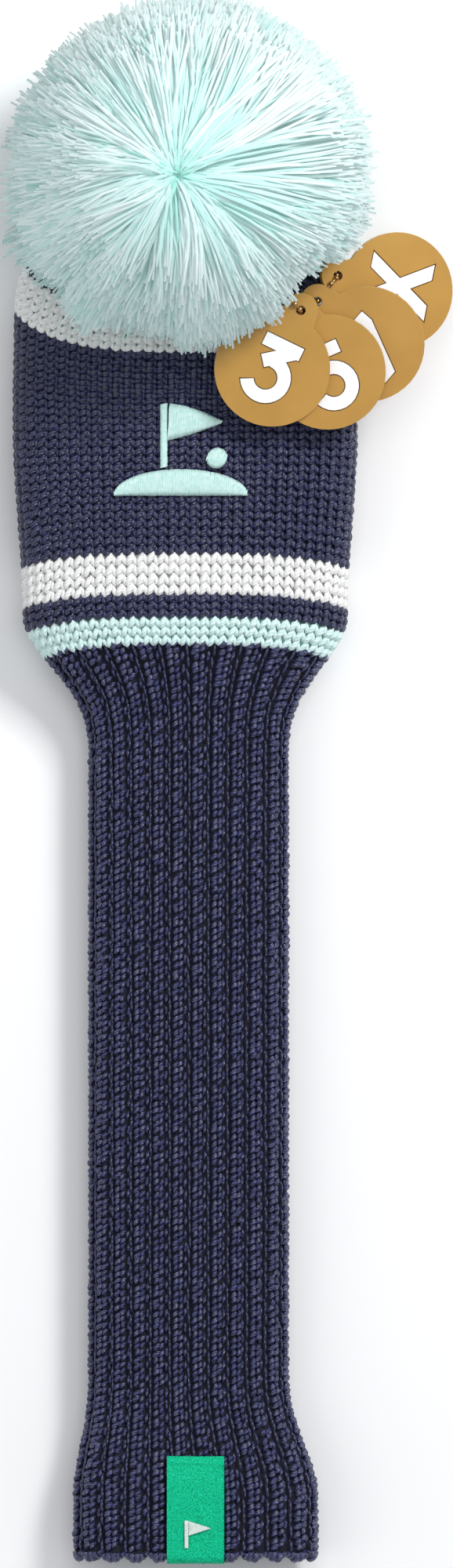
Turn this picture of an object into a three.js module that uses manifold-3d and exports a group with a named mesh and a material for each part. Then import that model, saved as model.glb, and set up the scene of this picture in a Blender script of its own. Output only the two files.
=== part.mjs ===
// Knitted golf head cover with a pom-pom and four number tags, lying flat.
// Millimetres, +Z up. The cover lies along Y: the pom-pom is towards +Y and the
// open mouth towards -Y. The origin is on the surface that the cover lies on,
// under the middle of the head pouch.
import * as THREE from 'three';
import { mergeVertices } from 'three/addons/utils/BufferGeometryUtils.js';
import Module from 'manifold-3d';

const wasm = await Module();
wasm.setup();

// ---------------------------------------------------------------- driving dimensions
const GAP = 0.3;                    // left between pieces that touch

// Knitted tube, along the course coordinate u: u is Y up to BEND_START, then it
// follows the crown, which bends up towards the pom-pom, and ends at the tie hole.
const KNIT_THICK = 3.4;
const SQUARENESS = 3;               // superellipse exponent of the cross-section
const RING_STEPS = 32;
const UNDERSIDE_FLAT = 0.8;         // how much of the round underside is pressed flat
const POUCH_HALF_WIDTH = 46.6;
const STRIPE_HALF_WIDTH = 44;
const NECK_HALF_WIDTH = 27.3;
const HEM_HALF_WIDTH = 33.2;
const POUCH_HALF_THICK = 15;
const NECK_HALF_THICK = 10;
const HEM_HALF_THICK = 12.4;
const BEND_START = 18;
const BEND_RADIUS = 85;
const CROWN_END = BEND_START + 37;  // where the side turns into the gathered end
const FACE_SPAN = 24;               // length of the gathered end, from the corner to the tie hole
const TIE_HOLE_RADIUS = 4.2;
const CORNER_HALF_WIDTH = 39;
const CORNER_HALF_THICK = 9;
const FACE_DOME = 5;

// Borders of the colour bands and knit sections, as course coordinates.
const BAND_TOP = 50.6;
const BAND_BOTTOM = 38.3;
const WHITE_TOP = -31.1;
const WHITE_BOTTOM = -42;
const MINT_TOP = -48.1;
const MINT_BOTTOM = -55.4;
const FLEX_TOP = -76;
const FLEX_BOTTOM = -122;
const HEM_TOP = -256;
const HEM_RIM = -296.5;

// How far the middle of a course runs ahead of its ends, towards +Y.
const CROWN_BOW = -8.6;
const STRIPE_BOW = 3.8;

const LINING_THICK = 0.8;
const LINING_EASE = 0.9;            // room between the knit and the lining

// Pom-pom and its tie.
const POM_CENTRE = new THREE.Vector3(0, 74.1, 46);
const POM_RADII = new THREE.Vector3(48.5, 45.8, 45.6);
const TIE_RADIUS = 1.2;
const KNOT_RADIUS = 2;
const KNOT_DROP = 3.4;              // knot centre below the button's middle
const BUTTON_RADIUS = 6;
const BUTTON_THICK = 1.6;
const BUTTON_HOLE_RADIUS = 2.1;
const BUTTON_DEPTH = 6.6;           // button's middle below the top of the crown
const BINDING_RADIUS = 3;
const BINDING_YARN_RADIUS = 1.1;

// Number tags.
const TAG_RADIUS = 15.5;
const TAG_THICK = 1.8;
const TAB_RADIUS = 4.6;
const TAB_REACH = 17.5;             // from the middle of the disc to the hole
const TAB_FLARE = 0.6;              // how much wider the tab is where it meets the disc
const TAG_HOLE_RADIUS = 1.3;
const CHAIN_GAP = 1.75;             // between tags where the chain passes
const STACK_TILT = THREE.MathUtils.degToRad(7);
const X_DROOP = THREE.MathUtils.degToRad(19);
const NUMERAL_DEPTH = 0.7;
const NUMERAL_STROKE = 3.6;
const POCKET_CLEARANCE = 0.3;

// Ball chain.
const BEAD_RADIUS = 0.75;
const BEAD_PITCH = 2.2;
const PIN_RADIUS = 0.26;
const CLASP_RADIUS = 1;
const CLASP_LENGTH = 5;

// Woven label, folded over the rim of the mouth.
const LABEL_WIDTH = 15.4;
const LABEL_CENTRE_X = 2;
const LABEL_TOP = -269.6;
const LABEL_INSIDE_TOP = -282;
const LABEL_THICK = 0.6;
const LABEL_OVERHANG = 2.3;

const NAVY = { color: 0x23264b, roughness: 0.75, metalness: 0 };
const OFF_WHITE = { color: 0xd9d8d2, roughness: 0.85, metalness: 0 };
const MINT = { color: 0xc2ebe2, roughness: 0.85, metalness: 0 };
const POM_MINT = { color: 0xd4efea, roughness: 0.9, metalness: 0 };
const LINING_GREY = { color: 0x3a3d52, roughness: 0.95, metalness: 0 };
const OCHRE = { color: 0xbe913c, roughness: 0.5, metalness: 0 };
const NUMERAL_WHITE = { color: 0xf4f4f6, roughness: 0.6, metalness: 0 };
const BRASS = { color: 0xb08d57, roughness: 0.3, metalness: 1 };
const LABEL_GREEN = { color: 0x0aaa73, roughness: 0.4, metalness: 0 };
const BUTTON_PLASTIC = { color: 0x2a2d40, roughness: 0.4, metalness: 0 };

// ---------------------------------------------------------------- helpers
const cover = new THREE.Group();

function add(name, geometry, finish, parent = cover) {
  const mesh = new THREE.Mesh(geometry, new THREE.MeshStandardMaterial(finish));
  mesh.name = name;
  parent.add(mesh);
  return mesh;
}

function toSolid(geometry) {
  const bare = geometry.clone();
  for (const attribute of ['normal', 'uv']) {
    bare.deleteAttribute(attribute);
  }
  const merged = mergeVertices(bare, 1e-3);
  const corners = merged.index.array;
  const triVerts = new Uint32Array(corners.length);
  let used = 0;
  for (let i = 0; i < corners.length; i += 3) {
    const [a, b, c] = corners.subarray(i, i + 3);
    if (a !== b && b !== c && c !== a) {
      triVerts.set([a, b, c], used);
      used += 3;
    }
  }
  const vertProperties = new Float32Array(merged.attributes.position.array);
  return new wasm.Manifold(new wasm.Mesh({ numProp: 3, vertProperties, triVerts: triVerts.slice(0, used) }));
}

function toGeometry(solid) {
  const mesh = solid.getMesh();
  const geometry = new THREE.BufferGeometry();
  geometry.setAttribute('position', new THREE.BufferAttribute(new Float32Array(mesh.vertProperties), 3));
  geometry.setIndex(new THREE.BufferAttribute(new Uint32Array(mesh.triVerts), 1));
  geometry.computeVertexNormals();
  return geometry;
}

function joined(geometries) {
  return toGeometry(geometries.map(toSolid).reduce((whole, next) => whole.add(next)));
}

function cutAway(geometry, cutters) {
  return toGeometry(cutters.map(toSolid).reduce((rest, next) => rest.subtract(next), toSolid(geometry)));
}

function extruded(shape, depth, curveSegments = 12) {
  return new THREE.ExtrudeGeometry(shape, { depth, bevelEnabled: false, curveSegments });
}

function cylinderBetween(from, to, radius, sides) {
  const along = to.clone().sub(from);
  const upright = new THREE.Vector3(0, 1, 0);
  const turn = new THREE.Quaternion().setFromUnitVectors(upright, along.clone().normalize());
  const middle = from.clone().add(to).multiplyScalar(0.5);
  return new THREE.CylinderGeometry(radius, radius, along.length(), sides)
    .applyQuaternion(turn)
    .translate(middle.x, middle.y, middle.z);
}

function circleShape(radius) {
  return new THREE.Shape().absarc(0, 0, radius, 0, 2 * Math.PI, false);
}

const step = (from, to, at) => THREE.MathUtils.smoothstep(at, from, to);
const signedPower = (value, power) => Math.sign(value) * Math.abs(value) ** power;
const blend = (from, to, part) => from + (to - from) * part;

// ---------------------------------------------------------------- the knitted tube
// Everything that one course of the tube needs: where its centre is, how it is
// tilted, its half width and thickness, and how far its middle runs ahead.
function courseAt(u) {
  const shoulder = step(-84, -44, u) ** 1.8;
  const flare = (1 - step(-281, -247, u)) ** 1.3;
  const stripe = blend(STRIPE_HALF_WIDTH, POUCH_HALF_WIDTH, step(-44, 6, u));
  const neck = blend(NECK_HALF_WIDTH, HEM_HALF_WIDTH, flare);
  const neckThick = blend(NECK_HALF_THICK, HEM_HALF_THICK, flare);
  const towardsCorner = THREE.MathUtils.clamp((u - BEND_START) / (CROWN_END - BEND_START), 0, 1);
  const inward = THREE.MathUtils.clamp((u - CROWN_END) / FACE_SPAN, 0, 1);
  const bend = Math.max(0, Math.min(u, CROWN_END) - BEND_START) / BEND_RADIUS;

  let halfWidth = blend(neck, stripe, shoulder);
  let halfThick = blend(neckThick, POUCH_HALF_THICK, shoulder);
  const level = halfThick - UNDERSIDE_FLAT;
  halfWidth = blend(halfWidth, CORNER_HALF_WIDTH, towardsCorner ** 8);
  halfThick = blend(halfThick, CORNER_HALF_THICK, towardsCorner ** 3);
  halfWidth = blend(halfWidth, TIE_HOLE_RADIUS, inward);
  halfThick = blend(halfThick, TIE_HOLE_RADIUS, inward);

  const crownBow = CROWN_BOW * step(0, BAND_BOTTOM, u) * (1 - step(BAND_TOP, CROWN_END + FACE_SPAN / 2, u));
  const stripeBow = STRIPE_BOW * step(-150, -55, u) * (1 - step(-30, 10, u));
  return {
    centre: new THREE.Vector3(
      blend(blend(0.1, 2, flare), -0.8, shoulder) * (1 - towardsCorner),
      Math.min(u, BEND_START) + BEND_RADIUS * Math.sin(bend),
      level + BEND_RADIUS * (1 - Math.cos(bend)),
    ),
    along: new THREE.Vector3(0, Math.cos(bend), Math.sin(bend)),
    up: new THREE.Vector3(0, -Math.sin(bend), Math.cos(bend)),
    halfWidth,
    halfThick,
    bow: crownBow + stripeBow,
    dome: FACE_DOME * Math.sin(inward * Math.PI / 2),
    faceTurn: (Math.PI / 2) * step(CROWN_END - 7, CROWN_END + 5, u),
  };
}

// A point of the tube's skin, at a depth below the outside, never below the surface.
function skinPoint(u, angle, depth) {
  const course = courseAt(u);
  const radialDepth = depth * Math.cos(course.faceTurn);
  const across = signedPower(Math.cos(angle), 2 / SQUARENESS) * (course.halfWidth - radialDepth);
  const rise = signedPower(Math.sin(angle), 2 / SQUARENESS) * (course.halfThick - radialDepth);
  const bow = course.bow * Math.abs(Math.sin(angle)) ** 1.5;
  const ahead = bow + course.dome - depth * Math.sin(course.faceTurn);
  const point = course.centre.clone()
    .addScaledVector(course.up, rise)
    .addScaledVector(course.along, ahead);
  point.x += across;
  point.z = Math.max(point.z, depth);
  return point;
}

function skinRing(u, depth) {
  return Array.from({ length: RING_STEPS }, (_, i) => skinPoint(u, (2 * Math.PI * i) / RING_STEPS, depth));
}

// Joins rings of equal length one after another, and in a loop the last to the first.
function skinOver(rings, isLoop) {
  const positions = rings.flat().flatMap((p) => [p.x, p.y, p.z]);
  const index = [];
  const count = rings[0].length;
  rings.slice(isLoop ? 0 : 1).forEach((_, row) => {
    const here = row * count;
    const next = ((row + 1) % rings.length) * count;
    for (let i = 0; i < count; i += 1) {
      const j = (i + 1) % count;
      index.push(here + i, next + i, next + j, here + i, next + j, here + j);
    }
  });
  const geometry = new THREE.BufferGeometry();
  geometry.setAttribute('position', new THREE.Float32BufferAttribute(positions, 3));
  geometry.setIndex(index);
  geometry.computeVertexNormals();
  return geometry;
}

function evenly(from, to, steps) {
  return Array.from({ length: steps + 1 }, (_, i) => blend(from, to, i / steps));
}

// A length of tube wall between two courses and two depths.
function tubeWall(from, to, steps, outerDepth = 0, innerDepth = KNIT_THICK) {
  const courses = evenly(from, to, steps);
  const outside = courses.map((u) => skinRing(u, outerDepth));
  const inside = courses.map((u) => skinRing(u, innerDepth)).reverse();
  return skinOver([...outside, ...inside], true);
}

// The outer form of the crown, filled and grown by a clearance.
function crownForm(clearance) {
  const rings = evenly(8, CROWN_END + FACE_SPAN, 12).map((u) => skinRing(u, -clearance));
  const pinch = (ring) => {
    const middle = ring.reduce((sum, p) => sum.add(p), new THREE.Vector3()).divideScalar(ring.length);
    return ring.map(() => middle.clone());
  };
  return skinOver([pinch(rings[0]), ...rings, pinch(rings.at(-1))], false);
}

const knitSections = [
  ['crown_navy', CROWN_END + FACE_SPAN, BAND_TOP, 9, NAVY],
  ['crown_band', BAND_TOP, BAND_BOTTOM, 3, OFF_WHITE],
  ['body_navy', BAND_BOTTOM, WHITE_TOP, 7, NAVY],
  ['stripe_white', WHITE_TOP, WHITE_BOTTOM, 1, OFF_WHITE],
  ['stripe_navy', WHITE_BOTTOM, MINT_TOP, 1, NAVY],
  ['stripe_mint', MINT_TOP, MINT_BOTTOM, 2, MINT],
  ['shoulder_rib', MINT_BOTTOM, FLEX_TOP, 4, NAVY],
  ['neck_flex', FLEX_TOP, FLEX_BOTTOM, 4, NAVY],
  ['neck_rib', FLEX_BOTTOM, HEM_TOP, 3, NAVY],
  ['hem_rib', HEM_TOP, HEM_RIM, 6, NAVY],
];
for (const [name, top, bottom, steps, finish] of knitSections) {
  const lower = name === 'hem_rib' ? bottom : bottom + GAP;
  add(name, tubeWall(lower, top, steps), finish);
}

const liningDepth = KNIT_THICK + LINING_EASE;
add('head_lining', tubeWall(MINT_TOP, BAND_TOP, 9, liningDepth, liningDepth + LINING_THICK), LINING_GREY);

// ---------------------------------------------------------------- pom-pom and its tie
const crownTop = courseAt(CROWN_END + FACE_SPAN);
const crownPeak = crownTop.centre.clone().addScaledVector(crownTop.along, crownTop.dome);
const buttonCentre = crownPeak.clone().addScaledVector(crownTop.along, -BUTTON_DEPTH);
const pomDirection = POM_CENTRE.clone().sub(crownPeak).normalize();
const bindingTurn = new THREE.Quaternion().setFromUnitVectors(new THREE.Vector3(0, 0, 1), pomDirection);

function buttonGeometry() {
  const face = circleShape(BUTTON_RADIUS);
  face.holes.push(circleShape(BUTTON_HOLE_RADIUS));
  return extruded(face, BUTTON_THICK, 10).translate(0, 0, -BUTTON_THICK / 2);
}

const button = add('tie_button', buttonGeometry(), BUTTON_PLASTIC);
button.quaternion.setFromUnitVectors(new THREE.Vector3(0, 0, 1), crownTop.along);
button.position.copy(buttonCentre);

// The tie runs straight out through the crown's hole and then turns to the pom-pom.
const knotCentre = buttonCentre.clone().addScaledVector(crownTop.along, -KNOT_DROP);
const tieEnd = POM_CENTRE.clone().addScaledVector(pomDirection, BINDING_YARN_RADIUS);
add('pom_tie', joined([
  new THREE.IcosahedronGeometry(KNOT_RADIUS, 1).translate(...knotCentre),
  cylinderBetween(knotCentre, crownPeak, TIE_RADIUS, 10),
  new THREE.IcosahedronGeometry(TIE_RADIUS, 1).translate(...crownPeak),
  cylinderBetween(crownPeak, tieEnd, TIE_RADIUS, 10),
]), POM_MINT);

const ringOfYarn = new THREE.TorusGeometry(BINDING_RADIUS, BINDING_YARN_RADIUS, 8, 16);
const binding = add('pom_binding', ringOfYarn, POM_MINT);
binding.quaternion.copy(bindingTurn);
binding.position.copy(POM_CENTRE);

// The yarn ball: hollowed where the tie runs, where it sits on the crown, and
// where the tags and their chain lie under it.
const ball = new THREE.SphereGeometry(1, 28, 18)
  .scale(POM_RADII.x, POM_RADII.y, POM_RADII.z)
  .translate(...POM_CENTRE);
const tieBore = cylinderBetween(crownPeak, POM_CENTRE, TIE_RADIUS + 2, 10);
const bindingRoom = new THREE.IcosahedronGeometry(BINDING_RADIUS + 3, 1).translate(...POM_CENTRE);
const tagRoom = new THREE.BoxGeometry(56, 48, 22).translate(36, 32, 33);
add('pom_yarn', cutAway(ball, [crownForm(1), tieBore, bindingRoom, tagRoom]), POM_MINT);

// ---------------------------------------------------------------- number tags
function tagOutline() {
  const base = TAB_RADIUS + TAB_FLARE;
  const baseAngle = Math.asin(base / TAG_RADIUS);
  const outline = new THREE.Shape();
  const [right, left] = [Math.PI / 2 - baseAngle, Math.PI / 2 + baseAngle - 2 * Math.PI];
  outline.absarc(0, -TAB_REACH, TAG_RADIUS, right, left, true);
  outline.absarc(0, 0, TAB_RADIUS, Math.PI, 0, true);
  outline.holes.push(circleShape(TAG_HOLE_RADIUS));
  return outline;
}

// A straight stroke of a numeral from one point to another, grown on all sides.
function bar(x0, y0, x1, y1, grow) {
  const from = new THREE.Vector2(x0, y0);
  const along = new THREE.Vector2(x1, y1).sub(from).normalize();
  const side = new THREE.Vector2(-along.y, along.x).multiplyScalar(NUMERAL_STROKE / 2 + grow);
  const start = from.clone().addScaledVector(along, -grow);
  const end = new THREE.Vector2(x1, y1).addScaledVector(along, grow);
  return new THREE.Shape([
    start.clone().add(side), start.clone().sub(side), end.clone().sub(side), end.clone().add(side),
  ]);
}

// A round stroke about (x, y), from one angle to another, both in degrees.
function bowl(x, y, radius, fromDegrees, toDegrees, grow) {
  const extra = grow / radius;
  const from = THREE.MathUtils.degToRad(fromDegrees) - extra;
  const to = THREE.MathUtils.degToRad(toDegrees) + extra;
  const shape = new THREE.Shape();
  shape.absarc(x, y, radius + NUMERAL_STROKE / 2 + grow, from, to, false);
  shape.absarc(x, y, radius - NUMERAL_STROKE / 2 - grow, to, from, true);
  return shape;
}

// A slanting stroke of a numeral whose two ends are cut level, grown on all sides.
function slab(x0, y0, x1, y1, grow) {
  const lean = Math.atan2(x1 - x0, y1 - y0);
  const halfWidth = (NUMERAL_STROKE / 2 + grow) / Math.cos(lean);
  const [startX, endX] = [x0 - grow * Math.tan(lean), x1 + grow * Math.tan(lean)];
  return new THREE.Shape([
    new THREE.Vector2(startX - halfWidth, y0 - grow), new THREE.Vector2(startX + halfWidth, y0 - grow),
    new THREE.Vector2(endX + halfWidth, y1 + grow), new THREE.Vector2(endX - halfWidth, y1 + grow),
  ]);
}

// Each numeral's strokes, about the middle of its disc.
const numerals = {
  3: (grow) => [
    bar(-5.5, 6.7, 5.4, 6.7, grow),
    bar(-3.3, 0.9, 4.2, 6.75, grow),
    bowl(-0.56, -2.94, 5, -152, 95, grow),
  ],
  5: (grow) => [
    bar(-4.3, 5.45, 5.4, 5.45, grow),
    bar(-3.2, 5.45, -3.6, -0.4, grow),
    bowl(0, -4, 4.9, -155, 128, grow),
  ],
  7: (grow) => [
    bar(-5.4, 5, 5.8, 5, grow),
    slab(-2.6, -10.5, 3.77, 3.3, grow),
  ],
  x: (grow) => [
    slab(-4.5, -8.8, 6.5, 8.8, grow),
    slab(6.7, -8.8, -4.3, 8.8, grow),
  ],
};

function numeralSolid(name, grow, depth, top) {
  return joined(numerals[name](grow).map((shape) => extruded(shape, depth, 10)))
    .translate(0, -TAB_REACH, top - depth);
}

const LEAN = Math.tan(STACK_TILT);
const SEVEN_HOLE = new THREE.Vector3(34.65, 39.9, 34.1);

// The middle height of the stack's level number n above tag 7, at a place along Y.
function stackHeight(y, offset) {
  return SEVEN_HOLE.z + (y - SEVEN_HOLE.y) * LEAN + offset / Math.cos(STACK_TILT);
}
const fiveOffset = TAG_THICK + CHAIN_GAP;
const threeOffset = fiveOffset + TAG_THICK + GAP;
const tags = [
  { name: '3', hole: new THREE.Vector3(30.2, 37.4, stackHeight(37.4, threeOffset)), spin: -26 },
  { name: '5', hole: new THREE.Vector3(30.3, 36.9, stackHeight(36.9, fiveOffset)), spin: 24 },
  { name: '7', hole: SEVEN_HOLE, spin: 49 },
  { name: 'x', hole: new THREE.Vector3(39.9, 46.8, 29.9), spin: 78 },
];
for (const { name, hole, spin } of tags) {
  const holder = new THREE.Group();
  holder.position.copy(hole);
  const tilt = name === 'x' ? new THREE.Euler(0, X_DROOP, 0) : new THREE.Euler(STACK_TILT, 0, 0);
  holder.quaternion.setFromEuler(tilt);
  const spinner = new THREE.Group();
  spinner.rotation.z = THREE.MathUtils.degToRad(spin);
  holder.add(spinner);
  cover.add(holder);

  const top = TAG_THICK / 2;
  const blank = extruded(tagOutline(), TAG_THICK, 20).translate(0, 0, -top);
  const pocket = numeralSolid(name, POCKET_CLEARANCE, NUMERAL_DEPTH + GAP + 1, top + 1);
  add(`tag_${name}`, cutAway(blank, [pocket]), OCHRE, spinner);
  add(`numeral_${name}`, numeralSolid(name, 0, NUMERAL_DEPTH - 0.1, top - 0.1), NUMERAL_WHITE, spinner);
}

// ---------------------------------------------------------------- ball chain
// The chain's route: from the clasp through the yarn loop, over tag 3 and down
// through tags 3 and 5, between 5 and 7, down through 7, over the tab of tag X,
// down through it, and back under the pom-pom to the clasp.
const [three, five, seven, ex] = tags.map((tag) => tag.hole);
const betweenHoles = (three.y + five.y) / 2;
const route = new THREE.CatmullRomCurve3([
  new THREE.Vector3(16.2, 47.4, 37),
  new THREE.Vector3(19.6, 46.6, 36.6),
  new THREE.Vector3(23.5, 44.7, 37),
  new THREE.Vector3(25.8, 42.2, 41.2),
  new THREE.Vector3(27.8, 39.8, three.z + 2.2),
  new THREE.Vector3(29.5, 38.1, three.z + 1.9),
  new THREE.Vector3(30.25, betweenHoles, three.z + 0.4),
  new THREE.Vector3(30.25, betweenHoles - 0.15, five.z),
  new THREE.Vector3(31.1, 37.5, five.z - 1.65),
  new THREE.Vector3(33.6, 39.2, seven.z + 1.7),
  new THREE.Vector3(34.65, 39.9, seven.z),
  new THREE.Vector3(35.5, 41, seven.z - 1.75),
  new THREE.Vector3(37.6, 43.8, seven.z - 1.75),
  new THREE.Vector3(39.6, 46, ex.z + 2.05),
  new THREE.Vector3(39.9, 46.8, ex.z),
  new THREE.Vector3(39.2, 48.4, ex.z - 1.8),
  new THREE.Vector3(37, 52.2, ex.z - 0.6),
  new THREE.Vector3(32.5, 54, ex.z + 2.6),
  new THREE.Vector3(26, 54.6, 35.5),
  new THREE.Vector3(19.6, 53.6, 37),
], false, 'centripetal');

function chainGeometry() {
  const beadCount = Math.round(route.getLength() / BEAD_PITCH);
  const places = route.getSpacedPoints(beadCount);
  const beads = places.map((p) => new THREE.IcosahedronGeometry(BEAD_RADIUS, 0).translate(p.x, p.y, p.z));
  const pins = places.slice(1).map((p, i) => cylinderBetween(places[i], p, PIN_RADIUS, 5));
  return joined([...beads, ...pins]);
}
add('ball_chain', chainGeometry(), BRASS);

// The clasp joins the chain's two ends.
const [chainStart, chainFinish] = [route.points[0], route.points.at(-1)];
const claspCentre = chainStart.clone().lerp(chainFinish, 0.5).add(new THREE.Vector3(-3.4, 0.4, 0));
const claspAxis = new THREE.Vector3(0, 1, 0);
add('chain_clasp', cylinderBetween(
  claspCentre.clone().addScaledVector(claspAxis, -CLASP_LENGTH / 2),
  claspCentre.clone().addScaledVector(claspAxis, CLASP_LENGTH / 2),
  CLASP_RADIUS,
  8,
), BRASS);

// A yarn loop sewn into the crown holds the chain.
class HalfRing extends THREE.Curve {
  getPoint(part, target = new THREE.Vector3()) {
    const angle = Math.PI * part;
    return target.set(0, 3 * Math.cos(angle), 3.6 * Math.sin(angle));
  }
}
const loop = add('chain_loop', new THREE.ExtrudeGeometry(circleShape(0.6), {
  steps: 12, extrudePath: new HalfRing(), curveSegments: 4,
}), NAVY);
loop.position.set(21.5, 45.7, 34.4);
loop.rotation.z = THREE.MathUtils.degToRad(-25);

// ---------------------------------------------------------------- embroidered emblem
// A flag in its hole on a green, with a ball: raised satin stitch on the body.
const emblem = new THREE.Group();
emblem.position.set(-1.9, 0, 2 * POUCH_HALF_THICK - UNDERSIDE_FLAT + GAP);
cover.add(emblem);
const EMBROIDERY_THICK = 1;

const green = new THREE.Shape();
green.absellipse(0, -12, 18, 7, 0, Math.PI, false);
add('emblem_green', extruded(green, EMBROIDERY_THICK, 12), MINT, emblem);

const pole = new THREE.Shape([
  new THREE.Vector2(-5.4, -4.4), new THREE.Vector2(-3.8, -4.4),
  new THREE.Vector2(-3.8, 12.6), new THREE.Vector2(-5.4, 12.6),
]);
add('emblem_pole', extruded(pole, EMBROIDERY_THICK), MINT, emblem);

const pennant = new THREE.Shape();
pennant.moveTo(-3.4, 12.6);
pennant.quadraticCurveTo(3, 12, 11.4, 7.6);
pennant.quadraticCurveTo(3, 4, -3.4, 2.8);
pennant.closePath();
add('emblem_flag', extruded(pennant, EMBROIDERY_THICK, 6), MINT, emblem);

const golfBall = circleShape(2.7);
add('emblem_ball', extruded(golfBall, EMBROIDERY_THICK, 8).translate(9.6, -2, 0), MINT, emblem);

// ---------------------------------------------------------------- woven label
// Height of the middle of the top of the knit, outside or inside.
function topHeight(y, depth) {
  return skinPoint(y, Math.PI / 2, depth).z;
}

function labelGeometry() {
  const outside = evenly(LABEL_TOP, HEM_RIM, 4);
  const inside = evenly(HEM_RIM, LABEL_INSIDE_TOP, 2);
  const line = (ys, depth) => ys.map((y) => new THREE.Vector2(y, topHeight(y, depth)));
  const fold = (reach) => {
    const top = topHeight(HEM_RIM, -GAP - reach);
    const bottom = topHeight(HEM_RIM, KNIT_THICK + GAP + reach);
    const middle = (top + bottom) / 2;
    return evenly(0.5, -0.5, 6).slice(1, -1).map((turn) => new THREE.Vector2(
      HEM_RIM - (LABEL_OVERHANG - LABEL_THICK + reach) * Math.cos(turn * Math.PI),
      middle + ((top - bottom) / 2) * Math.sin(turn * Math.PI),
    ));
  };
  const outline = [
    ...line(outside, -GAP - LABEL_THICK),
    ...fold(LABEL_THICK),
    ...line(inside, KNIT_THICK + GAP + LABEL_THICK),
    ...line([...inside].reverse(), KNIT_THICK + GAP),
    ...fold(0).reverse(),
    ...line([...outside].reverse(), -GAP),
  ];
  // The outline is in (y, z); the extrusion runs along X.
  return extruded(new THREE.Shape(outline), LABEL_WIDTH)
    .applyMatrix4(new THREE.Matrix4().set(0, 0, 1, 0, 1, 0, 0, 0, 0, 1, 0, 0, 0, 0, 0, 1))
    .translate(LABEL_CENTRE_X - LABEL_WIDTH / 2, 0, 0);
}
add('label', labelGeometry(), LABEL_GREEN);

// The label's woven mark: a small pennant on its pole.
function labelMark() {
  const mast = new THREE.Shape([
    new THREE.Vector2(-2.9, -3.6), new THREE.Vector2(-2, -3.6),
    new THREE.Vector2(-2, 3.8), new THREE.Vector2(-2.9, 3.8),
  ]);
  const flag = new THREE.Shape([
    new THREE.Vector2(-2.5, 3.8), new THREE.Vector2(-2.5, -0.4), new THREE.Vector2(4.2, 1.7),
  ]);
  return joined([extruded(mast, 0.3), extruded(flag, 0.3)]);
}
const MARK_Y = -290.6;
add('label_mark', labelMark(), OFF_WHITE)
  .position.set(LABEL_CENTRE_X, MARK_Y, topHeight(MARK_Y, 0) + GAP + LABEL_THICK + GAP);

export default cover;
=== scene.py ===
import math

import bmesh
import bpy
import numpy as np
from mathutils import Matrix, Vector


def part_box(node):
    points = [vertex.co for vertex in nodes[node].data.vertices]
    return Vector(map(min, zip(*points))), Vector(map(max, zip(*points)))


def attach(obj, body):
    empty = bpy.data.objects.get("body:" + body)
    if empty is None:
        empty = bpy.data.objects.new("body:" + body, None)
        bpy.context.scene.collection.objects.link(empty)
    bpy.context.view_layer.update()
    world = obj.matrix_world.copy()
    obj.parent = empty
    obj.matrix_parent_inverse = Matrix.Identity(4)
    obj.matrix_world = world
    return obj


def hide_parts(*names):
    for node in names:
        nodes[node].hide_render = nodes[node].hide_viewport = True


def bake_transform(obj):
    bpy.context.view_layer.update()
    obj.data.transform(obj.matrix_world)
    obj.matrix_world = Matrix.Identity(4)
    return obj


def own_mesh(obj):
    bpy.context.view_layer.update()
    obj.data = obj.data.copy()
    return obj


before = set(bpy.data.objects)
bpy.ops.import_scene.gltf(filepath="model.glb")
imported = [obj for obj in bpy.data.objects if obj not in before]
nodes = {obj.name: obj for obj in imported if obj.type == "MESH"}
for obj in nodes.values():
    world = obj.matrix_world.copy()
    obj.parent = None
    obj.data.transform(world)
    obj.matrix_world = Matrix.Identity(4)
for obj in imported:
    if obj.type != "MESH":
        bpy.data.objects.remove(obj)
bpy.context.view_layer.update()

# Lengths are in millimetres, and become metres when a mesh is made.
scene = bpy.context.scene
rng = np.random.default_rng(11)
MM = 0.001

# ------------------------------------------------------------------ the cover's skin
# u runs along the cover, from the mouth (negative) to the crown.
KNIT_THICK = 3.4
SQUARENESS = 3
UNDERSIDE_FLAT = 0.8
POUCH_HALF_WIDTH, STRIPE_HALF_WIDTH, NECK_HALF_WIDTH, HEM_HALF_WIDTH = 46.6, 44, 27.3, 33.2
POUCH_HALF_THICK, NECK_HALF_THICK, HEM_HALF_THICK = 15, 10, 12.4
POUCH_MIDDLE, NECK_MIDDLE, HEM_MIDDLE = -0.8, 0.1, 2
BEND_START, BEND_RADIUS, CROWN_END, FACE_SPAN = 18, 85, 55, 24
TIE_HOLE_RADIUS, CORNER_HALF_WIDTH, CORNER_HALF_THICK, FACE_DOME = 4.2, 39, 9, 5
BAND_TOP, BAND_BOTTOM = 50.6, 38.3
WHITE_TOP, WHITE_BOTTOM, MINT_TOP, MINT_BOTTOM = -31.1, -42, -48.1, -55.4
FLEX_TOP, FLEX_BOTTOM, HEM_TOP, HEM_RIM = -76, -122, -256, -296.5
CROWN_BOW, STRIPE_BOW = -8.6, 3.8
# The stretches over which the outline, the stripes' bow and the way into the cloth change.
SHOULDER, FLARE, POUCH_SWELL = (-84, -44), (-281, -247), (-44, 6)
STRIPE_BOW_GROWS, STRIPE_BOW_FADES = (-150, -55), (-30, 10)
CROWN_TURN = (CROWN_END - 7, CROWN_END + 5)


def smooth(low, high, x):
    t = np.clip((x - low) / (high - low), 0, 1)
    return t * t * (3 - 2 * t)


def mix(a, b, t):
    return a + (b - a) * t


def signed_power(value, exponent):
    return np.sign(value) * np.abs(value) ** exponent


def unit(v):
    return v / np.maximum(np.linalg.norm(v, axis=-1, keepdims=True), 1e-9)


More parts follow.
